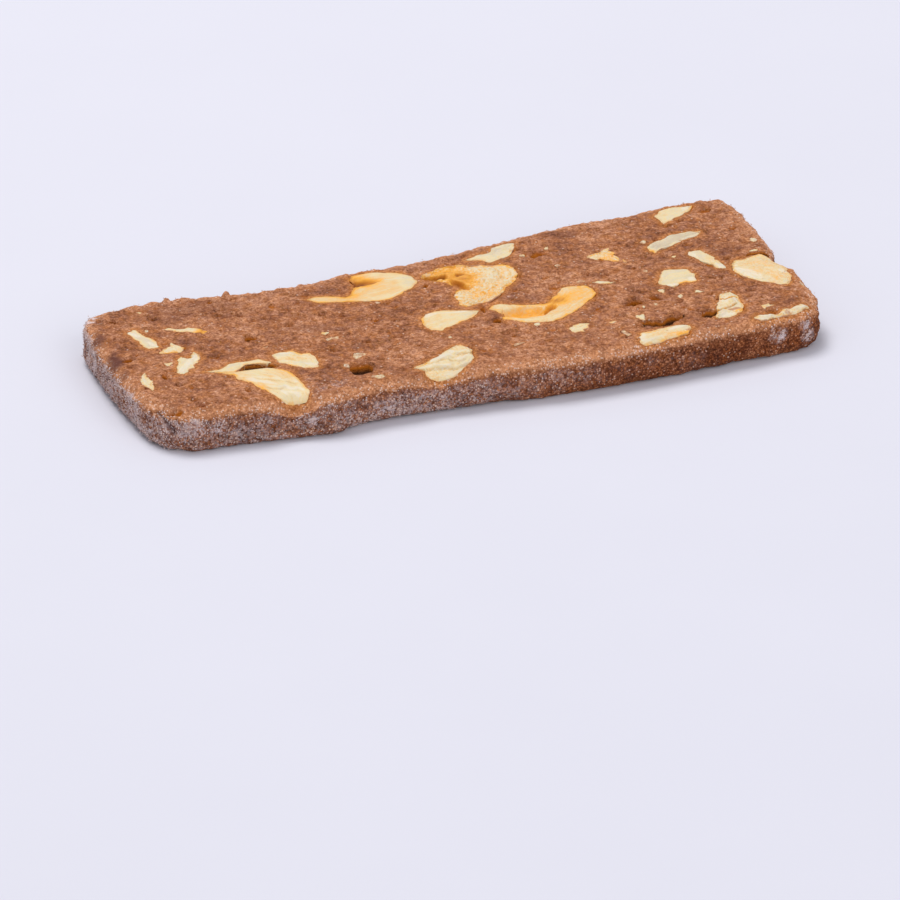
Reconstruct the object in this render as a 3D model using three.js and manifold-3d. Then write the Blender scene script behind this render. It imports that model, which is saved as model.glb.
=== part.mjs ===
// Cocoa biscuit: a thin slice of dark dough, with pieces of nut cut through by the same knife.
// Millimetres, +Z up. +X runs along the biscuit, which lies on z = 0 with its middle at the origin.
import * as THREE from "three";
import Module from "manifold-3d";

// Driving sizes of the slice
const LENGTH = 100.2;
const LEFT_WIDTH = 36.2;
const RIGHT_WIDTH = 41;
const FRONT_EDGE = -19.3;
const THICKNESS = 6;
const OUTLINE_STEPS = 176;

// Clear space that each nut keeps to the dough round it
const NUT_GAP = 0.3;
// How far cutting solids reach past the faces that they cut
const OVERCUT = 1;
const NUT_STEPS = 18;
const SMALL_STEPS = 10;

// Roundness of the slice's corners, seen from above
const CORNER_ROUND = { frontLeft: 7.5, frontRight: 6.5, backRight: 5, backLeft: 4.5 };

// Where the dough's edge swells outwards, or draws in where out is negative
const EDGE_SWELLS = [
  { at: [-20, 18], reach: 13, out: -2.9 },
  { at: [4, 19], reach: 16, out: -2.5 },
  { at: [34.5, 20.5], reach: 4, out: -0.6 },
  { at: [16, -19.3], reach: 19, out: 1.7 },
  { at: [-25, -19.3], reach: 5, out: 0.9 },
  { at: [-40, -19.3], reach: 4, out: -0.5 },
  { at: [-50, 15.5], reach: 8, out: -0.9 },
  { at: [-50, -16], reach: 7, out: -0.6 },
  { at: [50, -15], reach: 5, out: -0.5 },
  { at: [50, -0.4], reach: 1.9, out: -1.5 },
];

// Upright profile of the edge: how far each height lies inside the widest line
const EDGE_PROFILE = [
  { height: 0, inset: 1.1 },
  { height: 0.35, inset: 0.45 },
  { height: 1.1, inset: 0.1 },
  { height: 2.7, inset: 0 },
  { height: 4.9, inset: 0.05 },
  { height: 5.7, inset: 0.25 },
  { height: THICKNESS, inset: 0.75 },
];

// Places where the upper rim has crumbled away
const RIM_CHIPS = [
  { at: [-30.5, -20], reach: 3.2, deep: 0.5 },
  { at: [-10, -19.8], reach: 3.4, deep: 0.4 },
  { at: [-47.4, -16], reach: 2, deep: 1 },
  { at: [48.2, -17.2], reach: 2.4, deep: 0.9 },
];
const CHIP_FLOOR = 2.7;

// Thin lip of dough that spread under the front edge, where the edge faces the front squarely enough
const BOTTOM_LIP = { from: -46, to: -22, ramp: 1.5, out: 0.8, height: 1.2, faceStart: 0.5, faceFull: 0.9 };

// Nut sections in the top face. A nut is long and wide, turned by degrees, bent along its length,
// wider towards its far end where taper is positive, and squarer the blunter it is. A lobe is the
// other half of a split nut.
const TOP_NUTS = [
  { at: [-43, 5.6], turn: -76, long: 6.8, wide: 2.1, blunt: 2.4, depth: 2 },
  { at: [-40.1, -3.6], turn: 47, long: 7.8, wide: 3, taper: 0.2, blunt: 2.8, depth: 2.4 },
  { at: [-31.7, -12.1], turn: -62, long: 15.4, wide: 6, bend: -48, taper: 0.3, blunt: 2.1, depth: 3.2,
    lobe: { at: [-32.9, -6.5], turn: 0, long: 7.8, wide: 1.8, bend: -56 } },
  { at: [-25.5, -7.8], turn: -53, long: 7.4, wide: 4, blunt: 2.2, depth: 3 },
  { at: [-8.8, 8.6], turn: 13, long: 17.4, wide: 7.8, bend: 60, taper: 0.45, blunt: 2.3, through: true,
    hollow: { along: -0.12, aside: 0.22, long: 0.4, wide: 0.5, depth: 1.2 } },
  { at: [8.7, 6], turn: 99, long: 17, wide: 6.2, bend: 136, blunt: 2.2, through: true,
    hollow: { along: 0.1, aside: 0.3, long: 0.62, wide: 0.32, depth: 1.3 } },
  { at: [13, 15.1], turn: 21, long: 9.2, wide: 3, bend: -18, depth: 2.2 },
  { at: [13, -5.9], turn: 10, long: 16.8, wide: 5, bend: 104, blunt: 2.3, through: true,
    hollow: { along: 0.02, aside: 0.22, long: 0.66, wide: 0.5, depth: 1.4 } },
  { at: [-1.4, -2.8], turn: 17, long: 9.6, wide: 4.8, taper: -0.35, blunt: 2.1, depth: 2.8 },
  { at: [-6.4, -15.4], turn: 40, long: 11.4, wide: 6.2, blunt: 2.3, depth: 2.8 },
  { at: [40.6, 17.7], turn: 30, long: 6.8, wide: 3.8, depth: 2.6 },
  { at: [37.1, 9.8], turn: 21, long: 9.8, wide: 2.3, bend: -12, depth: 2 },
  { at: [39.6, 2.1], turn: -69, long: 7.8, wide: 2.2, bend: 15, depth: 2 },
  { at: [33.2, -1.8], turn: 35, long: 5.9, wide: 5.2, blunt: 2.8, depth: 3 },
  { at: [45.2, -3.8], turn: -66, long: 10.6, wide: 6.2, blunt: 2.4, through: true },
  { at: [36.7, -13.1], turn: 70, long: 8, wide: 3.9, blunt: 2.4, depth: 2.8 },
  { at: [24.8, -18], turn: 11, long: 9.2, wide: 3.5, blunt: 2.3, depth: 2.6 },
  { at: [42.4, -17.4], turn: 9, long: 9.6, wide: 1.8, depth: 1.8 },
];

// Nut sections that only the underside cuts
const UNDERSIDE_NUTS = [
  { at: [-42.6, -9.6], turn: 62, long: 9, wide: 4.6, blunt: 2.3, depth: 2.2 },
  { at: [-40, 7.6], turn: -18, long: 12, wide: 4.6, bend: 65, depth: 2.3 },
  { at: [-22, 1.6], turn: 66, long: 13, wide: 5, bend: -80, blunt: 2.2, depth: 2.4 },
  { at: [-19.4, -13.8], turn: 18, long: 8.6, wide: 4, taper: -0.3, depth: 2.2 },
  { at: [4.4, -13.8], turn: -24, long: 8, wide: 4.4, blunt: 2.5, depth: 2.2 },
  { at: [25.2, 11.4], turn: 24, long: 14, wide: 5, bend: 84, blunt: 2.2, depth: 2.4 },
  { at: [26.6, -6.6], turn: -44, long: 10, wide: 5.2, taper: 0.3, depth: 2.4 },
  { at: [34.4, -15.6], turn: 8, long: 8.4, wide: 3.8, depth: 2.1 },
  { at: [39.8, 11.8], turn: 78, long: 9, wide: 4.4, bend: 30, depth: 2.3 },
];

// Scale of a sunk nut's outline at parts of its depth: it narrows to a rounded foot
const SUNK_SHAPE = [
  { deep: 1, scale: 0.45 },
  { deep: 0.85, scale: 0.78 },
  { deep: 0.5, scale: 1 },
];
// Scale of a nut that both faces cut, which is widest at its waist
const THROUGH_FOOT = 0.84;
const THROUGH_WAIST = 1.03;

// Small flakes of nut, fused to the top face and just proud of it
const NUT_FLAKES = [
  { at: [-39.8, 0.8], turn: -30, long: 3.4, wide: 2.7 },
  { at: [-36.2, 6.3], turn: -27, long: 6.6, wide: 1.4 },
  { at: [-47, -7], turn: 83, long: 5.6, wide: 1.7 },
  { at: [26.4, 8.5], turn: 19, long: 4.7, wide: 3.6 },
  { at: [14.6, -12.5], turn: 21, long: 3.2, wide: 2.7 },
  { at: [22.6, 1.4], turn: -25, long: 5.4, wide: 1.3 },
  { at: [23.8, -10.8], turn: 12, long: 2.9, wide: 1.3 },
];
const FLAKE_PROUD = 0.2;
const FLAKE_SHAPE = [
  { rise: -1, scale: 1 },
  { rise: 0.5, scale: 0.95 },
  { rise: 1, scale: 0.6 },
];

// Holes and cracks that the dough baked in, open at the top face
const DOUGH_PITS = [
  { at: [-18.1, -13.4], turn: 30, long: 3.6, wide: 3, depth: 2.6 },
  { at: [25.4, -14], turn: -11, long: 8, wide: 1.8, bend: 30, depth: 2.2 },
  { at: [-31.4, -8], turn: 2, long: 5.4, wide: 1.3, depth: 2 },
  { at: [33.4, -14], turn: 24, long: 3, wide: 1.3, depth: 1.6 },
  { at: [48, 2.6], turn: -8, long: 4.4, wide: 0.9, depth: 1.8 },
  { at: [24.8, -7.2], turn: 5, long: 2.5, wide: 1, depth: 0.8 },
  { at: [-29.1, 1.2], turn: 10, long: 2.4, wide: 1.3, depth: 0.8 },
  { at: [18.5, 12.4], turn: -20, long: 3.2, wide: 2.2, depth: 0.6 },
];

const doughMaterial = new THREE.MeshStandardMaterial({ color: 0x7a4f3c, roughness: 0.92, metalness: 0 });
const nutMaterial = new THREE.MeshStandardMaterial({ color: 0xe9d3a0, roughness: 0.6, metalness: 0 });

const wasm = await Module();
wasm.setup();

// Closed surface over level rings of equal length, each counter-clockwise, from the lowest up
function loftGeometry(rings) {
  const steps = rings[0].length;
  const triangles = [];
  for (let level = 0; level + 1 < rings.length; level += 1) {
    for (let step = 0; step < steps; step += 1) {
      const next = (step + 1) % steps;
      const low = level * steps;
      const high = low + steps;
      triangles.push(low + step, low + next, high + next, low + step, high + next, high + step);
    }
  }
  const topStart = (rings.length - 1) * steps;
  const flat = (ring) => ring.map((point) => new THREE.Vector2(point.x, point.y));
  for (const [a, b, c] of THREE.ShapeUtils.triangulateShape(flat(rings[0]), [])) {
    triangles.push(a, c, b);
  }
  for (const [a, b, c] of THREE.ShapeUtils.triangulateShape(flat(rings.at(-1)), [])) {
    triangles.push(topStart + a, topStart + b, topStart + c);
  }
  const geometry = new THREE.BufferGeometry().setFromPoints(rings.flat());
  geometry.setIndex(triangles);
  return geometry;
}

// Closed geometry as a solid that can be joined and cut
function solidOf(geometry) {
  const mesh = new wasm.Mesh({
    numProp: 3,
    vertProperties: geometry.attributes.position.array,
    triVerts: Uint32Array.from(geometry.index.array),
  });
  return new wasm.Manifold(mesh);
}

// Bell-shaped weight of a feature at a place on the edge
function nearness(point, feature) {
  const apart = Math.hypot(point.x - feature.at[0], point.y - feature.at[1]);
  return Math.exp(-((apart / feature.reach) ** 2));
}

// Evenly spaced points round the slice: four sides with rounded corners, then the swells
function sliceOutline() {
  const right = LENGTH / 2;
  const left = -LENGTH / 2;
  const corners = [
    { at: new THREE.Vector2(left, FRONT_EDGE), round: CORNER_ROUND.frontLeft },
    { at: new THREE.Vector2(right, FRONT_EDGE), round: CORNER_ROUND.frontRight },
    { at: new THREE.Vector2(right, FRONT_EDGE + RIGHT_WIDTH), round: CORNER_ROUND.backRight },
    { at: new THREE.Vector2(left, FRONT_EDGE + LEFT_WIDTH), round: CORNER_ROUND.backLeft },
  ];
  const path = new THREE.Shape();
  corners.forEach((corner, index) => {
    const before = corners[(index + corners.length - 1) % corners.length].at;
    const after = corners[(index + 1) % corners.length].at;
    const start = before.clone().sub(corner.at).setLength(corner.round).add(corner.at);
    const end = after.clone().sub(corner.at).setLength(corner.round).add(corner.at);
    if (index === 0) path.moveTo(start.x, start.y);
    else path.lineTo(start.x, start.y);
    path.quadraticCurveTo(corner.at.x, corner.at.y, end.x, end.y);
  });
  path.closePath();
  const base = path.getSpacedPoints(OUTLINE_STEPS).slice(0, OUTLINE_STEPS);
  return withNormals(base).map(({ point, outward }) => {
    const swell = EDGE_SWELLS.reduce((sum, feature) => sum + feature.out * nearness(point, feature), 0);
    return point.clone().addScaledVector(outward, swell);
  });
}

// Each point of a closed outline with the direction that leads straight out of it
function withNormals(outline) {
  return outline.map((point, index) => {
    const before = outline[(index + outline.length - 1) % outline.length];
    const after = outline[(index + 1) % outline.length];
    const along = after.clone().sub(before).normalize();
    return { point, outward: new THREE.Vector2(along.y, -along.x) };
  });
}

// How far the lip under the front edge stands out at a place on the edge
function lipOut(point, outward) {
  const facesFront = THREE.MathUtils.smoothstep(-outward.y, BOTTOM_LIP.faceStart, BOTTOM_LIP.faceFull);
  const begins = THREE.MathUtils.smoothstep(point.x, BOTTOM_LIP.from, BOTTOM_LIP.from + BOTTOM_LIP.ramp);
  const ends = THREE.MathUtils.smoothstep(point.x, BOTTOM_LIP.to - BOTTOM_LIP.ramp, BOTTOM_LIP.to);
  return BOTTOM_LIP.out * facesFront * begins * (1 - ends);
}

// The whole slice, before anything is cut into it
function sliceSolid() {
  const edge = withNormals(sliceOutline());
  const rings = EDGE_PROFILE.map(({ height, inset }) => {
    const crumble = Math.max(0, (height - CHIP_FLOOR) / (THICKNESS - CHIP_FLOOR)) ** 2;
    return edge.map(({ point, outward }) => {
      const chip = RIM_CHIPS.reduce((sum, feature) => sum + feature.deep * nearness(point, feature), 0);
      const lip = height < BOTTOM_LIP.height ? lipOut(point, outward) : 0;
      const place = point.clone().addScaledVector(outward, lip - inset - crumble * chip);
      return new THREE.Vector3(place.x, place.y, height);
    });
  });
  return solidOf(loftGeometry(rings));
}

// Outline of a nut: a superellipse whose long axis is bent into an arc, at one height
function nutRing(nut, scale, grow, height, steps) {
  const { at, turn, long, wide, bend = 0, taper = 0, blunt = 2 } = nut;
  const halfLong = (long / 2) * scale + grow;
  const halfWide = (wide / 2) * scale + grow;
  const curl = THREE.MathUtils.degToRad(bend) / long;
  const ring = [];
  for (let step = 0; step < steps; step += 1) {
    const angle = (step / steps) * 2 * Math.PI;
    const round = (value) => Math.sign(value) * Math.abs(value) ** (2 / blunt);
    const reach = round(Math.cos(angle));
    const along = reach * halfLong;
    const aside = round(Math.sin(angle)) * halfWide * (1 + taper * reach);
    const swing = along * curl;
    const place = new THREE.Vector2(along, aside);
    if (curl !== 0) {
      place.set((1 / curl - aside) * Math.sin(swing), 1 / curl - (1 / curl - aside) * Math.cos(swing));
    }
    place.rotateAround(new THREE.Vector2(), THREE.MathUtils.degToRad(turn));
    ring.push(new THREE.Vector3(place.x + at[0], place.y + at[1], height));
  }
  return ring;
}

// Solid through rings of one nut outline, given as pairs of height and scale from the lowest up
function nutLoft(nut, levels, grow, steps) {
  const rings = levels.map(([height, scale]) => nutRing(nut, scale, grow, height, steps));
  return solidOf(loftGeometry(rings));
}

// A whole nut, with the lobe that is grown to its side where it has one
function kernelSolid(nut, levels, grow) {
  const body = nutLoft(nut, levels, grow, NUT_STEPS);
  return nut.lobe ? body.add(nutLoft(nut.lobe, levels, grow, NUT_STEPS)) : body;
}

// Levels of a piece that is sunk into the top face, rounded at its foot
function sunkLevels(depth) {
  const levels = SUNK_SHAPE.map(({ deep, scale }) => [THICKNESS - deep * depth, scale]);
  return [...levels, [THICKNESS + OVERCUT, 1]];
}

// The same piece turned over, sunk into the underside
function raisedLevels(depth) {
  return sunkLevels(depth).map(([height, scale]) => [THICKNESS - height, scale]).reverse();
}

// Levels of a nut that both faces cut, a little smaller at the underside
function throughLevels() {
  return [
    [-OVERCUT, THROUGH_FOOT],
    [0, THROUGH_FOOT],
    [THICKNESS / 2, THROUGH_WAIST],
    [THICKNESS, 1],
    [THICKNESS + OVERCUT, 1],
  ];
}

// The hollow between a nut's halves, which follows the nut's own arc nearer its inner side
function hollowSolid(nut) {
  const { at, turn, long, wide, bend = 0, hollow } = nut;
  const heading = THREE.MathUtils.degToRad(turn);
  const slide = new THREE.Vector2(hollow.along * long, hollow.aside * wide);
  slide.rotateAround(new THREE.Vector2(), heading);
  const scoop = {
    at: [at[0] + slide.x, at[1] + slide.y],
    turn: turn + bend * hollow.along,
    long: long * hollow.long,
    wide: wide * hollow.wide,
    bend: bend * hollow.long,
  };
  return nutLoft(scoop, sunkLevels(hollow.depth), 0, NUT_STEPS);
}

// A flake of nut that stands just proud of the top face
function flakeSolid(flake) {
  const levels = FLAKE_SHAPE.map(({ rise, scale }) => [THICKNESS + rise * FLAKE_PROUD, scale]);
  return nutLoft(flake, levels, 0, SMALL_STEPS);
}

// A finished solid as a named piece of the biscuit
function meshOf(solid, name, material) {
  const { vertProperties, triVerts } = solid.getMesh();
  const geometry = new THREE.BufferGeometry();
  geometry.setAttribute("position", new THREE.BufferAttribute(vertProperties, 3));
  geometry.setIndex(new THREE.BufferAttribute(triVerts, 1));
  geometry.computeVertexNormals();
  const mesh = new THREE.Mesh(geometry, material);
  mesh.name = name;
  return mesh;
}

const slice = sliceSolid();
const nuts = [
  ...TOP_NUTS.map((nut) => ({ nut, levels: nut.through ? throughLevels() : sunkLevels(nut.depth) })),
  ...UNDERSIDE_NUTS.map((nut) => ({ nut, levels: raisedLevels(nut.depth) })),
];

const biscuit = new THREE.Group();
let dough = slice;
nuts.forEach(({ nut, levels }, index) => {
  dough = dough.subtract(kernelSolid(nut, levels, NUT_GAP));
  let kernel = kernelSolid(nut, levels, 0).intersect(slice);
  if (nut.hollow) kernel = kernel.subtract(hollowSolid(nut));
  const name = `nut_${String(index + 1).padStart(2, "0")}`;
  biscuit.add(meshOf(kernel, name, nutMaterial.clone()));
});
for (const pit of DOUGH_PITS) dough = dough.subtract(nutLoft(pit, sunkLevels(pit.depth), 0, SMALL_STEPS));
for (const flake of NUT_FLAKES) dough = dough.add(flakeSolid(flake));
biscuit.add(meshOf(dough, "dough", doughMaterial));

export default biscuit;
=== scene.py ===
import bpy
import numpy as np
from mathutils import Matrix, Vector


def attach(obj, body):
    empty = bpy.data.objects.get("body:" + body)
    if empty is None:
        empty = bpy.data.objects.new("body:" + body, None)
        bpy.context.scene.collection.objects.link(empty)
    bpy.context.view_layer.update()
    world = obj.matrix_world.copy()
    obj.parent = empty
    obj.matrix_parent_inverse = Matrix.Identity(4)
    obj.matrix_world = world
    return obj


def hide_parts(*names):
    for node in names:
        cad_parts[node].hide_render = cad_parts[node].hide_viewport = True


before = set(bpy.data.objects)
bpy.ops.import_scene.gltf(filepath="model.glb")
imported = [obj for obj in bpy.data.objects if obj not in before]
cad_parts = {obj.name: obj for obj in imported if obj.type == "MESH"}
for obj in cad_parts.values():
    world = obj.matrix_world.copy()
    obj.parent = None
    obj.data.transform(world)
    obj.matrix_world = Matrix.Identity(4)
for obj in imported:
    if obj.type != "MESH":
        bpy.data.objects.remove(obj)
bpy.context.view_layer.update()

mm = 0.001  # shapes are worked out in millimetres and go into the meshes in metres
bpy.context.scene.view_settings.view_transform = "Standard"
print("frame:", len(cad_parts), "nodes")


pictureView = {
    "azimuth": -21.0,
    "elevation": 26.0,
    "distance": 1500.0,
    "pixelsPerMm": 7.2,  # where the anchor is
    "picture": 900,
    "sensor": 36.0,
    "anchor": (0.0, -0.65, 6.0),  # this point shows at the anchor pixel
    "anchorPixel": (451.0, 310.0),
    "farthest": 10.0,  # m
}


# The camera stands off from the point in the middle of the picture, straight back along the view.
def makeCamera(view):
    turn, lift = np.radians([view["azimuth"], view["elevation"]])
    back = Vector((np.sin(turn) * np.cos(lift), -np.cos(turn) * np.cos(lift), np.sin(lift)))
    right = Vector((np.cos(turn), np.sin(turn), 0))
    up = back.cross(right)
    middle = view["picture"] / 2
    offset = right * (view["anchorPixel"][0] - middle) + up * (middle - view["anchorPixel"][1])
    eye = Vector(view["anchor"]) - offset / view["pixelsPerMm"] + back * view["distance"]
    lens = bpy.data.cameras.new("pictureCamera")
    lens.sensor_width = view["sensor"]
    lens.lens = view["pixelsPerMm"] * view["distance"] * view["sensor"] / view["picture"]
    lens.clip_end = view["farthest"]
    camera = bpy.data.objects.new("pictureCamera", lens)
    axes = Matrix((right, up, back)).transposed().to_4x4()
    camera.matrix_world = Matrix.Translation(eye * mm) @ axes
    bpy.context.scene.collection.objects.link(camera)
    bpy.context.scene.camera = camera


makeCamera(pictureView)


studio = {
    "lights": (  # name, place, aim, size in m, watts, colour
        ("overheadSoftbox", (-0.15, 0.45, 1.1), (0.0, 0.0, 0.0), 0.55, 9.0, (1.0, 0.985, 0.96)),
        ("frontSoftbox", (0.2, -1.2, 0.7), (0.0, 0.0, 0.0), 0.9, 6.1, (1.0, 0.98, 0.96)),
    ),
    "skyColour": (0.95, 0.96, 1.0, 1.0),
    "skyStrength": 0.55,
}


# Square softboxes that face their aim, and an even pale sky.
def makeLight(lights):
    for name, place, aim, size, watts, colour in lights["lights"]:
        lamp = bpy.data.lights.new(name, "AREA")
        lamp.size = size
        lamp.energy = watts
        lamp.color = colour
        softbox = bpy.data.objects.new(name, lamp)
        softbox.location = place
        softbox.rotation_euler = (Vector(aim) - Vector(place)).to_track_quat("-Z", "Y").to_euler()
        bpy.context.scene.collection.objects.link(softbox)
    sky = bpy.data.worlds.new("paleSky")
    sky.use_nodes = True
    glow = sky.node_tree.nodes["Background"]
    glow.inputs["Color"].default_value = lights["skyColour"]
    glow.inputs["Strength"].default_value = lights["skyStrength"]
    bpy.context.scene.world = sky


makeLight(studio)
print("camera and light set")


# A shader node with its settings; an input is a value or another node's socket.
def addNode(tree, kind, inputs=None, **settings):
    made = tree.nodes.new("ShaderNode" + kind)
    for key, value in settings.items():
        setattr(made, key, value)
    for key, value in (inputs or {}).items():
        if isinstance(value, bpy.types.NodeSocket):
            tree.links.new(value, made.inputs[key])
        else:
            made.inputs[key].default_value = value
    return made


# One colour laid over another by a share.
def layTint(tree, share, under, over, blend="MIX"):
    inputs = {0: share, 6: under, 7: over}  # the node's own sockets for colours
    return addNode(tree, "Mix", inputs, data_type="RGBA", blend_type=blend).outputs[2]


# A value stretched from one range to another, held at the ends.
def stretch(tree, value, low, high, toLow=0.0, toHigh=1.0):
    inputs = {"Value": value, "From Min": low, "From Max": high, "To Min": toLow, "To Max": toHigh}
    return addNode(tree, "MapRange", inputs).outputs["Result"]


# Two values put together by a sum, product or the like.
def sums(tree, first, second, how="MULTIPLY"):
    return addNode(tree, "Math", {0: first, 1: second}, operation=how).outputs[0]


# Cloudy pattern; scales are waves in a millimetre.
def clouds(tree, places, scale, detail=3.0, roughness=0.6, stretched=None):
    if stretched:
        places = addNode(tree, "Mapping", {"Vector": places, "Scale": stretched}).outputs["Vector"]
    inputs = {"Vector": places, "Scale": scale, "Detail": detail, "Roughness": roughness}
    return addNode(tree, "TexNoise", inputs).outputs["Fac"]


# A colour for each value, between stops.
def tintsAlong(tree, value, stops):
    ramp = addNode(tree, "ValToRGB", {"Fac": value})
    while len(ramp.color_ramp.elements) < len(stops):
        ramp.color_ramp.elements.new(0.5)
    for element, (place, colour) in zip(ramp.color_ramp.elements, stops):
        element.position = place
        element.color = (*colour, 1.0)
    return ramp.outputs["Color"]


# An empty material, its main shader and its places in millimetres.
def newMaterial(name):
    material = bpy.data.materials.new(name)
    material.use_nodes = True
    tree = material.node_tree
    shader = tree.nodes["Principled BSDF"]
    own = addNode(tree, "TexCoord").outputs["Object"]
    inputs = {0: own, "Scale": 1 / mm}
    places = addNode(tree, "VectorMath", inputs, operation="SCALE").outputs["Vector"]
    return material, tree, shader, places


# A value that the piece's mesh holds at its points.
def held(tree, name, output="Fac"):
    return addNode(tree, "Attribute", attribute_name=name).outputs[output]


# Bump from a height in the material.
def bumpFrom(tree, shader, height, strength, distance):
    inputs = {"Height": height, "Strength": strength, "Distance": distance * mm}
    bump = addNode(tree, "Bump", inputs)
    tree.links.new(bump.outputs["Normal"], shader.inputs["Normal"])


crust = {
    "tones": (  # dark to light
        (0.36, (0.220, 0.075, 0.038)),
        (0.50, (0.440, 0.176, 0.084)),
        (0.63, (0.630, 0.297, 0.162)),
    ),
    "patch": (0.13, 4.0),  # patterns are by scale, detail and roughness
    "streak": (0.45, 4.0, 0.65),
    "streakStretch": (0.75, 1.0, 1.0),
    "mottle": (1.1, 3.0),
    "grain": (2.7, 3.0, 0.7),
    "blush": (0.8, 4.0, 0.7),
    "seam": (1.2, 2.0, 0.5),
    "dust": (0.5, 5.0, 0.7),
    "toneShares": (0.45, 0.3, 0.6),  # of patch, streak and mottle
    "toneDrop": 0.175,
    "grainShade": (0.3, 0.7, 0.56, 1.44),  # ranges are by low, high, and what each of them gives
    "warmColour": (0.480, 0.165, 0.042, 1.0),
    "warmRange": (0.50, 0.66, 0.0, 0.65),
    "pinkColour": (0.440, 0.205, 0.135, 1.0),
    "pinkRange": (0.48, 0.34, 0.0, 0.55),
    "seamFlanks": ((0.47, 0.5), (0.53, 0.5)),
    "seamBreaks": (0.58, 0.44, 0.0, 0.85),
    "seamColour": (0.300, 0.110, 0.020, 1.0),
    "crumbScale": 3.6,  # crumbs in a millimetre
    "crumbRange": (0.1, 0.9),
    "crumbShade": (0.80, 1.20),
    "edgeCrumbShade": (0.52, 1.46),
    # painted shade in the gaps between crumbs, darker on the edge
    "gapRange": (0.25, 0.7),
    "gapShade": 0.82,
    "edgeGapShade": 0.34,
    "shadeTints": (  # by half the shade of grain, crumbs and gaps, part tone and part painted shade and glints: redder where it is dark and greyer where it is light
        (0.0, (0.0, 0.0, 0.0)),
        (0.125, (0.35, 0.25, 0.19)),
        (0.25, (0.59, 0.50, 0.43)),
        (0.5, (1.0, 1.0, 1.0)),
        (0.75, (1.35, 1.50, 1.66)),
        (1.0, (1.64, 2.0, 2.4)),
    ),
    "halfShade": 0.5,
    # painted shade with warm bounced light on the edge, less where flour lies
    "edgeShadeTint": (0.74, 0.59, 0.46, 1.0),
    "edgeShadeUnderFlour": (0.25, 0.8, 1.0, 0.42),
    # darker places in the dough, and the painted shadow in the grooves
    "stainAndShadowColour": (0.100, 0.030, 0.027, 1.0),
    # amber pit walls with painted shade, and floors painted black as their shadow
    "wallColour": (0.430, 0.120, 0.004, 1.0),
    "wallRange": (0.3, 0.9, 0.0, 0.98),
    "pitShadowColour": (0.060, 0.019, 0.005, 1.0),
    "pitShadowRange": (0.9, 1.8),
    # painted highlight along the upper rim, where it rounds over
    "rimHighlightColour": (0.770, 0.358, 0.178, 1.0),
    "rimHighlightShare": 0.58,
    "seepColour": (0.590, 0.222, 0.058, 1.0),  # where the nuts' oil browned the dough
    "seepShare": 0.8,
    "paleColour": (0.740, 0.545, 0.460, 1.0),
    "paleFrom": 0.985,
    "paleByFlour": 0.36,
    "paleRange": (0.0, 0.15, 0.0, 0.85),
    "paleMiddle": (0.6, 0.3),
    "flourColour": (0.770, 0.640, 0.655, 1.0),
    "veilRange": (0.2, 1.0),
    "veilDust": (0.36, 0.7, 0.15, 0.95),
    "veilPowder": (0.25, 0.8, 0.1, 1.1),
    "clumpRange": (1.0, 1.4),
    "clumpPowder": (0.1, 0.6, 0.35, 0.95),
    "speckColour": (0.700, 0.480, 0.380, 1.0),
    "speckScale": 1.5,
    "speckRange": (0.62, 0.8, 0.0, 0.8),
    "speckMiddle": (0.26, 0.14),
    "roughness": 0.9,
    "specular": 0.2,
    "bump": 0.9,
    "bumpDepth": 0.30,
    "gapBump": (-0.15, -0.6),  # on the faces, on the edge
    "mottleBump": 0.8,
    "seamBump": -0.3,
}
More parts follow.
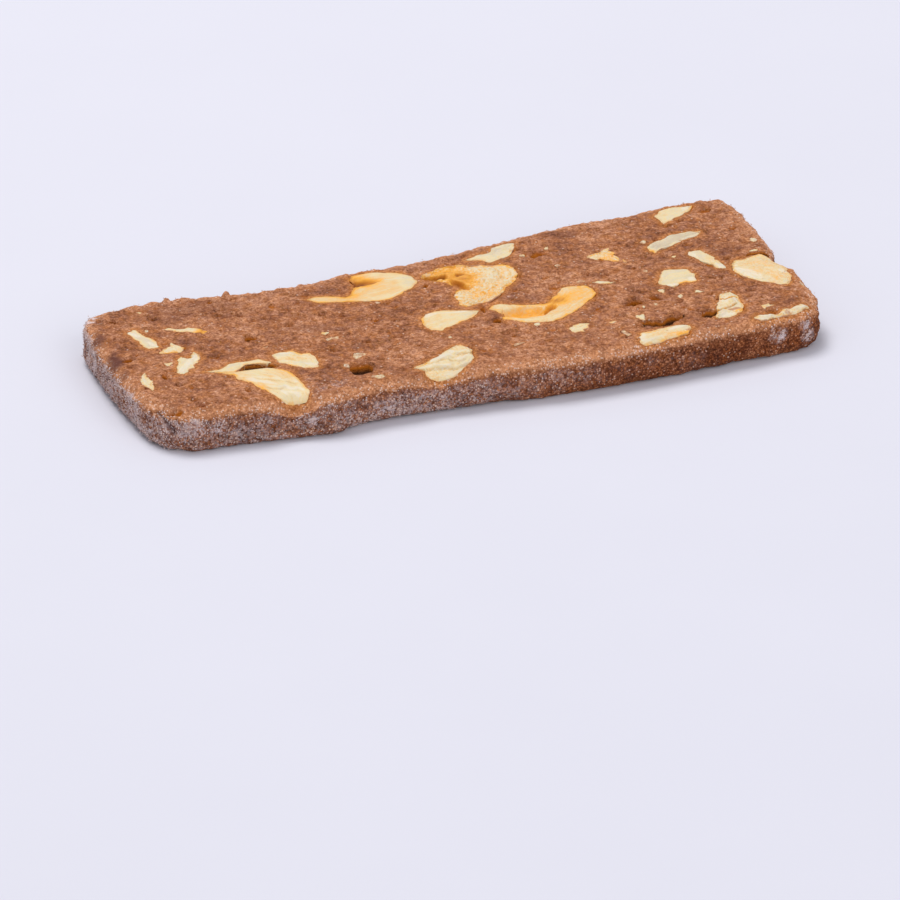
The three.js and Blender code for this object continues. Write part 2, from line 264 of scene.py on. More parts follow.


# Baked cocoa dough: tones in patches and knife streaks, golden seams, browner round the nuts and a painted
# highlight along the rim, with pale specks, stains, painted shadow in the grooves, and pits whose walls are
# amber with painted shade and whose floors are painted black as shadow. Grain and crumbs are shaded partly as
# their own tone and partly as painted shade and glints. On the edge, painted shade with warm bounced light,
# crumbs with painted shade in the gaps between them, pale ones among them, and a veil of flour that clumps
# where it is thick.
def makeCrust(look):
    material, tree, shader, places = newMaterial("bakedCocoaDough")
    patch = clouds(tree, places, *look["patch"])
    streak = clouds(tree, places, *look["streak"], look["streakStretch"])
    mottle = clouds(tree, places, *look["mottle"])
    grain = clouds(tree, places, *look["grain"])
    seam = clouds(tree, places, *look["seam"], look["streakStretch"])
    dust = clouds(tree, places, *look["dust"])
    crumbs = addNode(tree, "TexVoronoi", {"Vector": places, "Scale": look["crumbScale"]}).outputs
    crumbParts = addNode(tree, "SeparateColor", {"Color": crumbs["Color"]}).outputs
    crumbTone = crumbParts["Red"]
    specks = addNode(tree, "TexVoronoi", {"Vector": places, "Scale": look["speckScale"]}).outputs
    blush = clouds(tree, places, *look["blush"])
    flour = held(tree, "flour")
    side = held(tree, "side")

    parts = [sums(tree, *pair) for pair in zip((patch, streak, mottle), look["toneShares"])]
    tone = sums(tree, sums(tree, parts[0], parts[1], "ADD"), parts[2], "ADD")
    tone = sums(tree, tone, look["toneDrop"], "SUBTRACT")
    colour = tintsAlong(tree, tone, look["tones"])
    colour = layTint(tree, stretch(tree, blush, *look["warmRange"]), colour, look["warmColour"])
    colour = layTint(tree, stretch(tree, blush, *look["pinkRange"]), colour, look["pinkColour"])
    ridge = sums(tree, *(stretch(tree, seam, *flank) for flank in look["seamFlanks"]))
    ridge = sums(tree, ridge, stretch(tree, mottle, *look["seamBreaks"]))
    colour = layTint(tree, ridge, colour, look["seamColour"])
    shade = stretch(tree, grain, *look["grainShade"])
    shades = zip(look["crumbShade"], look["edgeCrumbShade"])
    dim, bright = (stretch(tree, side, 0.0, 1.0, *pair) for pair in shades)
    shade = sums(tree, shade, stretch(tree, crumbTone, *look["crumbRange"], dim, bright))
    rimHighlight = held(tree, "rimHighlight")
    darkest = stretch(tree, side, 0.0, 1.0, look["gapShade"], look["edgeGapShade"])
    shade = sums(tree, shade, stretch(tree, crumbs["Distance"], *look["gapRange"], 1.0, darkest))
    # the edge darkened and reddened as painted shade and bounced light
    plain = sums(tree, side, stretch(tree, flour, *look["edgeShadeUnderFlour"]))
    colour = layTint(tree, plain, colour, look["edgeShadeTint"], "MULTIPLY")
    colour = layTint(tree, sums(tree, rimHighlight, look["rimHighlightShare"]), colour, look["rimHighlightColour"])
    colour = layTint(tree, sums(tree, held(tree, "seep"), look["seepShare"]), colour, look["seepColour"])
    shade = tintsAlong(tree, sums(tree, shade, look["halfShade"]), look["shadeTints"])
    colour = layTint(tree, 1.0, colour, shade, "MULTIPLY")

    bare = sums(tree, flour, rimHighlight, "SUBTRACT")
    powder = crumbParts["Green"]
    veil = sums(tree, stretch(tree, bare, *look["veilRange"]), stretch(tree, dust, *look["veilDust"]))
    veil = sums(tree, veil, stretch(tree, powder, *look["veilPowder"]))
    clump = stretch(tree, flour, *look["clumpRange"])
    clump = sums(tree, clump, stretch(tree, powder, *look["clumpPowder"]))
    veil = sums(tree, veil, clump, "MAXIMUM")
    colour = layTint(tree, veil, colour, look["flourColour"])
    paleFrom = sums(tree, look["paleFrom"], sums(tree, flour, look["paleByFlour"]), "SUBTRACT")
    pale = stretch(tree, sums(tree, crumbTone, paleFrom, "SUBTRACT"), *look["paleRange"])
    pale = sums(tree, pale, stretch(tree, crumbs["Distance"], *look["paleMiddle"]))
    colour = layTint(tree, pale, colour, look["paleColour"])
    speck = stretch(tree, specks["Color"], *look["speckRange"])
    speck = sums(tree, stretch(tree, specks["Distance"], *look["speckMiddle"]), speck)
    colour = layTint(tree, speck, colour, look["speckColour"])
    colour = layTint(tree, held(tree, "stainAndShadow"), colour, look["stainAndShadowColour"])
    crease = held(tree, "crease")
    colour = layTint(tree, stretch(tree, crease, *look["wallRange"]), colour, look["wallColour"])
    colour = layTint(tree, stretch(tree, crease, *look["pitShadowRange"]), colour, look["pitShadowColour"])
    tree.links.new(colour, shader.inputs["Base Color"])
    shader.inputs["Roughness"].default_value = look["roughness"]
    shader.inputs["Specular IOR Level"].default_value = look["specular"]
    hollow = sums(tree, crumbs["Distance"], stretch(tree, side, 0.0, 1.0, *look["gapBump"]))
    height = sums(tree, sums(tree, grain, hollow, "ADD"), sums(tree, mottle, look["mottleBump"]), "ADD")
    height = sums(tree, height, sums(tree, ridge, look["seamBump"]), "ADD")
    bumpFrom(tree, shader, height, look["bump"], look["bumpDepth"])
    return material


kernel = {
    "tints": (  # untoasted to toasted
        (0.00, (0.520, 0.410, 0.280)),
        (0.10, (0.655, 0.550, 0.375)),
        (0.20, (0.755, 0.610, 0.345)),
        (0.32, (0.765, 0.510, 0.235)),
        (0.50, (0.870, 0.410, 0.046)),
        (0.72, (0.560, 0.200, 0.009)),
        (1.00, (0.240, 0.066, 0.009)),
    ),
    "fibre": (0.9, 4.0, 0.65),  # patterns are by scale, detail and roughness
    "fibreStretch": (0.35, 2.2, 1.0),
    "mottle": (0.6, 4.0, 0.6),
    "spot": (1.7, 2.0, 0.5),
    "flake": (2.6, 3.0, 0.7),
    "coat": (2.2, 3.0),
    "mottleDrift": (0.3, 0.7, -0.07, 0.07),  # ranges are by low, high, and what each of them gives
    "fibreDrift": (0.3, 0.7, 0.08, -0.08),
    "flakeDrift": (0.45, 0.7, 0.0, 0.2),
    "driftByToast": (0.0, 0.3, 0.4, 1.0),
    "flakyByToast": (0.4, 0.6, 1.0, 0.2),
    "spotColour": (0.420, 0.190, 0.050, 1.0),
    "spotRange": (0.70, 0.78, 0.0, 0.55),
    "paleColour": (0.710, 0.625, 0.490, 1.0),
    "paleFibre": (0.52, 0.68, 0.0, 0.6),
    "paleByToast": (0.4, 0.15),
    "coatColour": (0.470, 0.215, 0.115, 1.0),
    "coatRange": (0.85, 1.1, 0.0, 0.9),
    "coatByToast": (0.75, 0.5),
    # painted shade in low places, and a painted highlight with chalky white flakes on high ones
    "lowShadeColour": (0.520, 0.320, 0.130, 1.0),
    "lowShade": (-0.15, -1.5, 0.0, 0.75),
    "lowByToast": (0.55, 0.3, 0.3, 1.0),
    "highlightAndChalkColour": (0.770, 0.690, 0.560, 1.0),
    "highFlake": (0.52, 0.34, 0.0, 0.6),
    "highShade": (0.1, 1.1, 0.0, 0.72),
    "highByToast": (0.6, 0.35, 0.1, 1.0),
    "roughness": 0.52,
    "specular": 0.35,
    "subsurface": 0.12,
    "subsurfaceReach": (1.0, 0.55, 0.25),
    "subsurfaceScale": 0.8,
    "bump": 0.7,
    "bumpDepth": 0.16,
    "mottleBump": 0.5,
}


# Cut nut: colour by how toasted it is, with fibres along it, soft mottling, a few brown spots, painted shade
# in low places, a painted highlight and chalky white on high ones, and smears of dough where it is coated.
def makeKernel(look):
    material, tree, shader, places = newMaterial("cutNut")
    along = held(tree, "fibre", "Vector")
    fibre = clouds(tree, along, *look["fibre"], look["fibreStretch"])
    mottle = clouds(tree, places, *look["mottle"])
    spot = clouds(tree, places, *look["spot"])
    drift = stretch(tree, mottle, *look["mottleDrift"])
    drift = sums(tree, drift, stretch(tree, fibre, *look["fibreDrift"]), "ADD")
    toast = held(tree, "toast")
    drift = sums(tree, drift, stretch(tree, toast, *look["driftByToast"]))
    grain = clouds(tree, places, *look["flake"])
    flaky = sums(tree, held(tree, "flaky"), stretch(tree, toast, *look["flakyByToast"]))
    flakes = sums(tree, flaky, stretch(tree, grain, *look["flakeDrift"]))
    drift = sums(tree, drift, flakes, "ADD")
    colour = tintsAlong(tree, sums(tree, toast, drift, "ADD"), look["tints"])
    pale = stretch(tree, fibre, *look["paleFibre"])
    pale = sums(tree, pale, stretch(tree, toast, *look["paleByToast"]))
    colour = layTint(tree, pale, colour, look["paleColour"])
    colour = layTint(tree, stretch(tree, spot, *look["spotRange"]), colour, look["spotColour"])
    shade = held(tree, "shade")
    low = stretch(tree, shade, *look["lowShade"])
    low = sums(tree, low, stretch(tree, toast, *look["lowByToast"]))
    colour = layTint(tree, low, colour, look["lowShadeColour"])
    high = sums(tree, flaky, stretch(tree, grain, *look["highFlake"]))
    high = sums(tree, high, stretch(tree, shade, *look["highShade"]), "MAXIMUM")
    high = sums(tree, high, stretch(tree, toast, *look["highByToast"]))
    colour = layTint(tree, high, colour, look["highlightAndChalkColour"])
    smear = sums(tree, held(tree, "coat"), clouds(tree, places, *look["coat"]), "ADD")
    smear = sums(tree, stretch(tree, smear, *look["coatRange"]), stretch(tree, toast, *look["coatByToast"]))
    colour = layTint(tree, smear, colour, look["coatColour"])
    tree.links.new(colour, shader.inputs["Base Color"])
    shader.inputs["Roughness"].default_value = look["roughness"]
    shader.inputs["Specular IOR Level"].default_value = look["specular"]
    shader.inputs["Subsurface Weight"].default_value = look["subsurface"]
    shader.inputs["Subsurface Radius"].default_value = look["subsurfaceReach"]
    shader.inputs["Subsurface Scale"].default_value = look["subsurfaceScale"] * mm
    height = sums(tree, fibre, sums(tree, mottle, look["mottleBump"]), "ADD")
    height = sums(tree, height, sums(tree, grain, flaky), "ADD")
    bumpFrom(tree, shader, height, look["bump"], look["bumpDepth"])
    return material


grainLook = {
    "tints": ((0.3, (0.50, 0.36, 0.32)), (0.7, (0.82, 0.71, 0.71))),
    "scale": 1.3,
    "roughness": 0.35,
}


# Sugar and flour grains: white, some of them greyed by dough.
def makeGrain(look):
    material, tree, shader, places = newMaterial("sugarAndFlour")
    colour = tintsAlong(tree, clouds(tree, places, look["scale"]), look["tints"])
    tree.links.new(colour, shader.inputs["Base Color"])
    shader.inputs["Roughness"].default_value = look["roughness"]
    return material


floorLook = {
    "size": 4.0,  # m
    "tints": ((0.3, (0.675, 0.675, 0.760)), (0.7, (0.685, 0.685, 0.770))),
    "scale": 0.02,
    "roughness": 0.8,
    "specular": 0.1,
}


# Flat pale floor, wide enough to fill the picture.
def makeFloor(look):
    material, tree, shader, places = newMaterial("paleFloor")
    colour = tintsAlong(tree, clouds(tree, places, look["scale"]), look["tints"])
    tree.links.new(colour, shader.inputs["Base Color"])
    shader.inputs["Roughness"].default_value = look["roughness"]
    shader.inputs["Specular IOR Level"].default_value = look["specular"]
    half = look["size"] / 2
    mesh = bpy.data.meshes.new("paleFloor")
    corners = [(-half, -half, 0), (half, -half, 0), (half, half, 0), (-half, half, 0)]
    mesh.from_pydata(corners, [], [(0, 1, 2, 3)])
    mesh.materials.append(material)
    floor = bpy.data.objects.new("paleFloor", mesh)
    bpy.context.scene.collection.objects.link(floor)


makeFloor(floorLook)
crustMaterial = makeCrust(crust)
kernelMaterial = makeKernel(kernel)
grainMaterial = makeGrain(grainLook)
print("materials made")


latticeSteps = 61
fieldShift = 31  # keeps one smooth field apart from the next
pebbleReach = 0.6  # squared, in cells
lattice = np.random.default_rng(11).uniform(-1, 1, (latticeSteps,) * 3)
pebbleShift = np.random.default_rng(12).uniform(-0.5, 0.5, (latticeSteps,) * 3 + (3,))


# Eases from 0 to 1 between two values, by t * t * (3 - 2t).
def ease(value, low, high):
    t = np.clip((value - low) / (high - low), 0, 1)
    return t * t * (3 - 2 * t)


# Smooth random field from -1 to 1: random numbers on a lattice, eased between.
def softNoise(points, size):
    steps = points / np.asarray(size)
    low = np.floor(steps).astype(int)
    share = ease(steps - low, 0, 1)
    total = np.zeros(len(points))
    for corner in np.ndindex(2, 2, 2):
        x, y, z = ((low + corner) % latticeSteps).T
        total += np.where(corner, share, 1 - share).prod(axis=1) * lattice[x, y, z]
    return total


# Packed pebbles: 1 at the nearest of the cells' random centres, falling to 0 between them.
def pebbles(points, size):
    cells = points / size
    home = np.floor(cells).astype(int)
    nearest = np.full(len(points), 4.0)  # farther than any centre lies
    for step in np.ndindex(3, 3, 3):
        cell = home + step - 1
        x, y, z = (cell % latticeSteps).T
        centre = cell + 0.5 + pebbleShift[x, y, z]
        nearest = np.minimum(nearest, ((cells - centre) ** 2).sum(axis=1))
    return np.clip(1 - nearest / pebbleReach, 0, 1)


# Sum of smooth fields, each of its own sizes and height, far apart in the lattice.
def relief(points, layers):
    return sum(height * softNoise(points + fieldShift * k, size) for k, (size, height) in enumerate(layers))


# A base plus smooth fields, each of its own size and share.
def mixedFields(points, layers, base=0.0):
    return sum((share * softNoise(points, size) for size, share in layers), base)


# A push along x and y at each point, from two fields that lie apart.
def shakeOf(points, size, apart):
    return np.column_stack([softNoise(points + shift, size) for shift in (0, apart)])


# A bell over one value: its height in the middle, falling off by exp(-t * t) over its reach.
def bell(value, height, middle, reach):
    return height * np.exp(-((value - middle) / reach) ** 2)


# A bell-shaped spot: 1 in the middle, falling off by exp(-t * t) over its reach.
def spotAt(places, middle, reach):
    return np.exp(-(((places - np.asarray(middle)) / np.asarray(reach)) ** 2).sum(axis=1))


# How far each point of an open line lies along it.
def farAlong(line):
    return np.concatenate([[0], np.cumsum(np.linalg.norm(np.diff(line, axis=0), axis=1))])


# The points at given ways along a line.
def pointsAlong(line, far, steps):
    return np.column_stack([np.interp(steps, far, line[:, k]) for k in range(2)])


# An oval by its middle, length, width and turn in degrees.
def ovalAt(x, y, long, wide, turn):
    return {"at": (x, y), "long": long, "wide": wide, "turn": turn}


# A mesh from points in mm and faces of four and three corners, with values held at its points.
def makePiece(name, slot, material, points, quads, triangles, values):
    corners = np.concatenate([quads.ravel(), triangles.ravel()]).astype(np.int32)
    fours, threes = len(quads), len(triangles)
    starts = np.concatenate([4 * np.arange(fours), 4 * fours + 3 * np.arange(threes)]).astype(np.int32)
    mesh = bpy.data.meshes.new(name)
    mesh.vertices.add(len(points))
    mesh.vertices.foreach_set("co", (points * mm).astype(np.float32).ravel())
    mesh.loops.add(len(corners))
    mesh.loops.foreach_set("vertex_index", corners)
    mesh.polygons.add(len(starts))
    mesh.polygons.foreach_set("loop_start", starts)
    mesh.update(calc_edges=True)
    for key, value in values.items():
        kind, field = ("FLOAT", "value") if value.ndim == 1 else ("FLOAT_VECTOR", "vector")
        mesh.attributes.new(key, kind, "POINT").data.foreach_set(field, value.astype(np.float32).ravel())
    mesh.shade_smooth()
    mesh.materials.append(material)
    piece = bpy.data.objects.new(name, mesh)
    bpy.context.scene.collection.objects.link(piece)
    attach(piece, "root")
    return piece


# Faces of four corners over a grid of point numbers.
def gridQuads(grid):
    return np.stack([grid[:-1, :-1], grid[:-1, 1:], grid[1:, 1:], grid[1:, :-1]], axis=-1).reshape(-1, 4)


# The direction out of each point: the sum of the normals of the faces round it.
def outwardOf(points, quads, triangles):
    total = np.zeros_like(points)
    faces = np.concatenate([quads[:, :3], quads[:, [0, 2, 3]], triangles])
    first, second, third = (points[faces[:, k]] for k in range(3))
    normals = np.cross(second - first, third - first)
    for axis in range(3):
        for k in range(3):
            total[:, axis] += np.bincount(faces[:, k], normals[:, axis], len(points))
    return total / np.linalg.norm(total, axis=1, keepdims=True)


# Nuts in the top face, in mm on that face: two tips, and the points of both sides from the first tip to the
# second. A nut without depth goes right through. tone is how toasted it is, and toasted adds places by
# (x, y, reach along x, reach along y, amount). rough is how flaky the face is, ragged how uneven the outline.
# hollows are scooped out by (x, y, half length, half width, turn, depth, toast), cracks run from point to
# point by (from, to, width, depth), and the face drops right of a ledge by (from, to, drop). chalk is white
# and flaky in an oval by (x, y, half length, half width, turn), and coated adds dough left on the face like
# toasted. A lobe is a second half of the same nut.
topNuts = (
    {"tips": ((-43.6, 9.2), (-42.6, 2.5)), "depth": 2, "tone": 0.08, "rough": 0.4, "ragged": 1.5,
     "chalk": ((-43.7, 7.6, 1.2, 0.5, -70), (-42.4, 3.6, 1.2, 0.5, -75)),
     "left": ((-42.9, 9.0), (-42.7, 7.0), (-42.1, 5.8), (-41.8, 4.2), (-41.8, 2.8)),
     "right": ((-44.5, 8.3), (-44.3, 6.2), (-43.7, 4.2), (-43.6, 2.7))},
    {"tips": ((-42.4, -6.6), (-38.0, -0.7)), "depth": 2.4, "tone": 0.12, "rough": 0.7, "ragged": 1.8,
     "chalk": ((-40.6, -4.6, 2.4, 0.6, 52), (-38.4, -2.4, 0.9, 0.5, 60)),
     "left": ((-42.5, -5.9), (-41.1, -3.5), (-40.7, -2.0), (-40.1, -1.3), (-39.2, -1.6), (-38.6, -1.5)),
     "right": ((-41.5, -6.5), (-39.7, -5.4), (-38.8, -4.3), (-37.8, -2.7), (-37.6, -1.4)),
     "hollows": ((-39.3, -1.7, 0.8, 0.4, -35, 0.7, 0.75),)},
    {"tips": ((-38.0, -7.2), (-29.9, -18.5)), "depth": 3.2, "tone": 0.22, "rough": 0.25,
     "left": ((-34.3, -8.7), (-32.2, -8.8), (-29.7, -9.1), (-28.3, -10), (-27.6, -11.8), (-27.4, -14),
              (-27.4, -16.2), (-27.1, -17.8), (-28, -18.7)),
     "right": ((-36.6, -8.3), (-35.3, -9.4), (-35.2, -11), (-33.8, -12.5), (-33.2, -14.6), (-32.6, -16.2),
               (-31.9, -17.4), (-30.9, -18.3)),
     "ledges": (((-33.1, -11), (-27.6, -15.1), 0.1), ((-32.8, -13.9), (-27.6, -17.3), 0.1)),
     "toasted": ((-28.6, -11.6, 1.4, 2.2, 0.13), (-35, -9.6, 2, 1.4, 0.05), (-30, -16.4, 2.4, 2, -0.08),
                 (-32.8, -14.6, 0.9, 1.6, 0.2), (-34.2, -12.2, 0.9, 1.2, 0.14)),
     "chalk": ((-29.4, -16.6, 1.8, 0.9, -25), (-32.4, -12.6, 2.6, 0.5, -40)),
     "lobe": {"tips": ((-38.9, -7.1), (-28.9, -7.4)), "tone": 0.14, "rough": 0.3,
              "left": ((-36.1, -6.9), (-34.7, -5.8), (-33.4, -5.8), (-30.5, -5.9)),
              "right": ((-35.8, -8.2), (-34.6, -8.5), (-33.6, -7.7), (-32.6, -6.8), (-31.3, -7),
                        (-29.8, -7.6))}},
    {"tips": ((-28.3, -6.5), (-23.4, -11.3)), "depth": 3, "tone": 0.15, "rough": 0.6,
     "left": ((-28.2, -5.2), (-26.9, -4.9), (-25.3, -4.9), (-24.3, -6.4), (-23.3, -6.5), (-22.8, -8),
              (-23.1, -9.8)),
     "right": ((-28.2, -7.9), (-27.5, -8.7), (-25.9, -10.4), (-24.9, -10.8)),
     "toasted": ((-26, -7.6, 1.8, 0.9, 0.12),),
     "chalk": ((-26.4, -5.6, 1.6, 0.6, -8), (-24.2, -9.8, 1.2, 0.6, -30))},
    {"tips": ((-17.6, 9.9), (-1.0, 10.4)), "tone": 0.3, "rough": 0.1,
     "left": ((-16.4, 10.2), (-14.5, 9.8), (-13.2, 9.1), (-12.2, 8.6), (-11.4, 8.9), (-10.8, 9.9),
              (-9.9, 11.4), (-9.7, 13.6), (-8.9, 14.7), (-7, 15), (-5.4, 14.7), (-3.9, 14), (-2.4, 13.1),
              (-1.2, 11.8)),
     "right": ((-16.6, 8.3), (-14.3, 7.6), (-11.8, 6.9), (-10, 6.4), (-8.4, 5.9), (-6.6, 5.8), (-5.4, 6.3),
               (-4.1, 7.2), (-2.3, 8.3), (-1.2, 9.3)),
     "hollows": ((-8.0, 12.0, 3.2, 0.9, 8, 0.6, 0.34),),
     "toasted": ((-8.6, 11.6, 2.8, 1.3, 0.28), (-9.6, 13.4, 2, 1.5, 0.32), (-11.5, 8.7, 1.6, 1.0, 0.22),
                 (-6.6, 9.9, 2.6, 1.6, 0.04), (-5.6, 14.4, 2, 0.8, -0.12), (-2.4, 10.2, 2, 3, -0.16),
                 (-7.5, 6.6, 3, 0.9, -0.06), (-12.4, 7.9, 1.4, 0.8, 0.08)),
     "coated": ((-9.5, 12.3, 0.9, 0.6, 0.7),)},
    {"tips": ((-0.2, 10.6), (2.5, -0.4)), "tone": 0.28, "rough": 1.2, "ragged": 1.6,
     "left": ((0.1, 11.3), (1.1, 11.8), (2.7, 12.4), (4, 13), (6.1, 12.9), (8, 12.2), (9.8, 11.3),
              (11.8, 10.8), (12.8, 10.2), (13.2, 9), (12.9, 7.2), (12.3, 5.8), (11.1, 4.4), (9.7, 3.3),
              (8, 1.4), (6, 0.2), (4.4, -0.1)),
     "right": ((0.3, 9.7), (1.9, 8.7), (2.7, 7.6), (3.4, 6.3), (3.6, 5.4), (2.7, 4.4), (1.9, 3.5),
               (2.0, 1.8), (1.8, 0.5)),
     "hollows": ((1.6, 10, 1.9, 0.9, -20, 1.2, 0.56), (4.1, 6.6, 2.0, 0.9, -70, 1.1, 0.3),
                 (5.3, 9.6, 1.0, 0.6, 20, 0.4, 0.3)),
     "toasted": ((3.8, 10.4, 2.6, 2, 0.3), (4.4, 7.4, 2, 2.2, 0.3), (6.4, 8.4, 1.4, 1, 0.22),
                 (5.6, 2.6, 2, 0.8, 0.14), (9.8, 9.7, 2, 1.4, -0.06), (10.5, 7.6, 3, 3, -0.06))},
    {"tips": ((7.6, 13.9), (16.4, 16.6)), "depth": 2.2, "tone": 0.04, "rough": 0.5, "ragged": 1.4,
     "left": ((8.9, 14.6), (12, 15.2), (12.7, 16.4), (14.4, 16.8), (15.9, 17)),
     "right": ((8.6, 13.3), (9.6, 13), (10.4, 12.2), (11.2, 12.1), (13.2, 12.8), (14.6, 13.8),
               (15.3, 15.2)),
     "toasted": ((9.8, 13.4, 1.6, 1, 0.16), (12.2, 13.4, 2, 0.9, 0.1), (14.6, 14.6, 1.2, 1.2, 0.1)),
     "coated": ((9.2, 13.3, 1.2, 0.6, 0.5), (15, 14.8, 0.9, 0.9, 0.45))},
    {"tips": ((5.0, -2.2), (21.0, -0.9)), "tone": 0.3, "rough": 0.4,
     "left": ((5.9, -1.3), (7.2, -1.2), (8.9, -2.1), (10, -2.6), (11.5, -3.2), (13, -3.4), (13.8, -2.8),
              (15.3, -1.2), (17, 0.5), (18.7, 0.7), (20.3, 0.2)),
     "right": ((5.9, -3.4), (6.2, -4.6), (5.6, -5.9), (7, -6.8), (8.2, -8), (10.1, -8.7), (12, -9),
               (13.4, -8.6), (14.9, -7.7), (16.5, -6.7), (18, -5.5), (19.6, -4.1), (20.9, -2.4)),
     "hollows": ((9.4, -4.9, 3.7, 1.9, -14, 1.2, 0.2), (13.2, -4.9, 1.2, 0.8, 30, 0.8, 0.3)),
     "toasted": ((14.3, -3.4, 1.8, 1.4, 0.28), (16.2, -3, 2.2, 1.6, 0.2), (8, -5.4, 2.6, 1.6, 0.04),
                 (6.8, -1.9, 1.6, 0.7, -0.1), (12.5, -8, 4, 0.9, -0.06), (18.6, -1.6, 1.6, 1.4, 0.06))},
    {"tips": ((-5.4, -3.9), (3.7, -2.2)), "depth": 2.8, "tone": 0.19, "rough": 0.3,
     "left": ((-5.2, -2.8), (-4.7, -1.6), (-3.9, -0.6), (-2.4, -0.1), (-1.1, -0.4), (0.6, -0.8),
              (2.5, -1.6)),
     "right": ((-5.3, -4.7), (-4.8, -5.6), (-3.7, -6.3), (-2.4, -5.7), (-0.7, -5), (1, -4.3), (2.8, -3.1)),
     "toasted": ((-4.6, -3.4, 0.9, 1.8, 0.08),),
     "chalk": ((-3.6, -1.2, 1.3, 0.6, 20), (0.6, -1.6, 2.4, 0.4, -12))},
    {"tips": ((-11.4, -16.2), (-1.95, -13.8)), "depth": 2.8, "tone": 0.17, "rough": 0.7, "ragged": 1.3,
     "chalk": ((-6.4, -14, 3.2, 0.5, 24), (-3.4, -14.8, 1.2, 0.6, 0)),
     "left": ((-10.8, -15.7), (-9.9, -15.4), (-9, -15), (-7, -14), (-5.5, -12.7), (-4.2, -11.9),
              (-3.5, -11.3), (-2.6, -11.7), (-2.2, -12.7)),
     "right": ((-10.9, -16.9), (-10.2, -17.3), (-10.5, -18.2), (-9.6, -18.9), (-8, -19.2), (-6.3, -19),
               (-4.8, -18.4), (-3.3, -17.2), (-2.4, -16)),
     "ledges": (((-12, -16.7), (-2, -17), 0.4), ((-5.6, -13.2), (-1, -14.2), 0.25),
                ((-8, -14.8), (-3, -15.6), 0.16), ((-9, -15.6), (-4.4, -14), 0.1)),
     "toasted": ((-8, -19.2, 4, 0.9, 0.05),)},
    {"tips": ((38.4, 15.1), (44.5, 19.6)), "depth": 2.6, "tone": 0.14, "rough": 0.4, "ragged": 1.4,
     "chalk": ((43, 19, 1.2, 0.6, 40),),
     "left": ((38.3, 16.6), (38.1, 18.2), (39.2, 19.5), (40.1, 19.9), (42, 20), (43.2, 19.6)),
     "right": ((39.4, 15.9), (41.3, 16.7), (42.5, 17.7), (43.8, 18.8))},
    {"tips": ((33.0, 7.4), (42.3, 11.2)), "depth": 2, "tone": 0.03, "rough": 0.4, "ragged": 1.4,
     "coated": ((38.4, 9.2, 1.6, 0.3, 0.45), (41.4, 10.8, 1.2, 0.6, 0.5)),
     "left": ((33.1, 8.9), (34.4, 9.8), (36.1, 10.4), (37.2, 11.3), (38.5, 11.5), (40.4, 11.6)),
     "right": ((33.7, 6.7), (35.1, 7.9), (36.8, 8.1), (38.2, 8.7), (39.9, 9.6), (41.2, 10.1)),
     "toasted": ((33.2, 7.2, 0.7, 0.7, 0.42),)},
    {"tips": ((37.9, 5.3), (40.9, -1.8)), "depth": 2, "tone": 0.12, "rough": 0.5, "ragged": 1.5,
     "chalk": ((38.1, 4.3, 0.9, 0.7, -60), (40.4, -0.8, 1.1, 0.6, -70)),
     "left": ((39.6, 5.4), (40.1, 3.9), (40.7, 2.4), (41, 0)),
     "right": ((37.5, 4.8), (37.8, 3.9), (38.5, 2.4), (39.2, 0.8), (40, -1.1)),
     "toasted": ((39.9, 2.4, 0.6, 1.2, 0.12),)},
    {"tips": ((30.4, -2.8), (36.1, -1.6)), "depth": 3, "tone": 0.13, "rough": 0.4, "ragged": 1.5,
     "chalk": ((35, -3.3, 1.2, 0.8, 10), (31.8, -4, 1.4, 0.4, -5)),
     "left": ((31.1, -0.9), (31.8, 0.3), (32.5, 0.9), (34.2, 0.6), (35.4, 0.3), (36.0, -0.7)),
     "right": ((30.6, -3.8), (32, -4.4), (33.3, -3.9), (33.8, -3.7), (34.3, -4.2), (35.5, -4.1),
               (35.9, -2.6)),
     "toasted": ((33.6, -3.9, 0.8, 0.4, 0.3),)},
    {"tips": ((41.6, -2), (47, -9.6)), "tone": 0.15, "rough": 0.6, "ragged": 1.5,
     "chalk": ((43.0, -4.0, 3.2, 0.9, -58), (47.9, -5.4, 0.9, 0.4, -30)),
     "left": ((42, -0.7), (43.2, 0.3), (45.1, 0.8), (46.8, 1), (48, 0.1), (48.8, -1.6), (49, -3.5),
              (48.8, -5.2), (48.5, -7.1), (47.9, -8.8)),
     "right": ((41.7, -3.5), (42.3, -5.4), (43.7, -7.3), (45.1, -8.8)),
     "toasted": ((45.8, -2.4, 2.4, 2.6, 0.16), (47.4, -6.6, 1.4, 2, 0.14), (45.6, -7.8, 1.2, 1.2, 0.1))},
    {"tips": ((33.4, -15.9), (37.8, -9.1)), "depth": 2.8, "tone": 0.13, "rough": 0.9, "ragged": 1.5,
     "chalk": ((36.4, -11.6, 1.8, 0.8, 60), (35, -15.8, 1.4, 0.4, 5)),
     "coated": ((36.8, -14.6, 1.1, 0.4, 0.9),),
     "left": ((34.1, -14.8), (34.5, -13.2), (35.6, -11.6), (36.3, -9.8), (37, -9.2)),
     "right": ((34.5, -16.6), (36.1, -16.4), (37.5, -15.4), (38.5, -14.3), (38.6, -12.3), (38.8, -10.7),
               (38.5, -9.5)),
     "cracks": (((33.6, -14.4), (37.8, -13.0), 0.2, 1.4), ((36.3, -10.6), (38.6, -11.2), 0.14, 0.3)),
     "toasted": ((37.2, -14.9, 0.9, 0.4, 0.35),)},
    {"tips": ((20.6, -19.5), (29.2, -17.1)), "depth": 2.6, "tone": 0.16, "rough": 0.6, "ragged": 1.4,
     "chalk": ((21.6, -18.6, 1.2, 0.8, 70), (27.6, -17, 1.4, 0.6, 5)),
     "left": ((21.2, -18), (22, -17), (23.4, -16.8), (26, -16.4), (28, -16.5)),
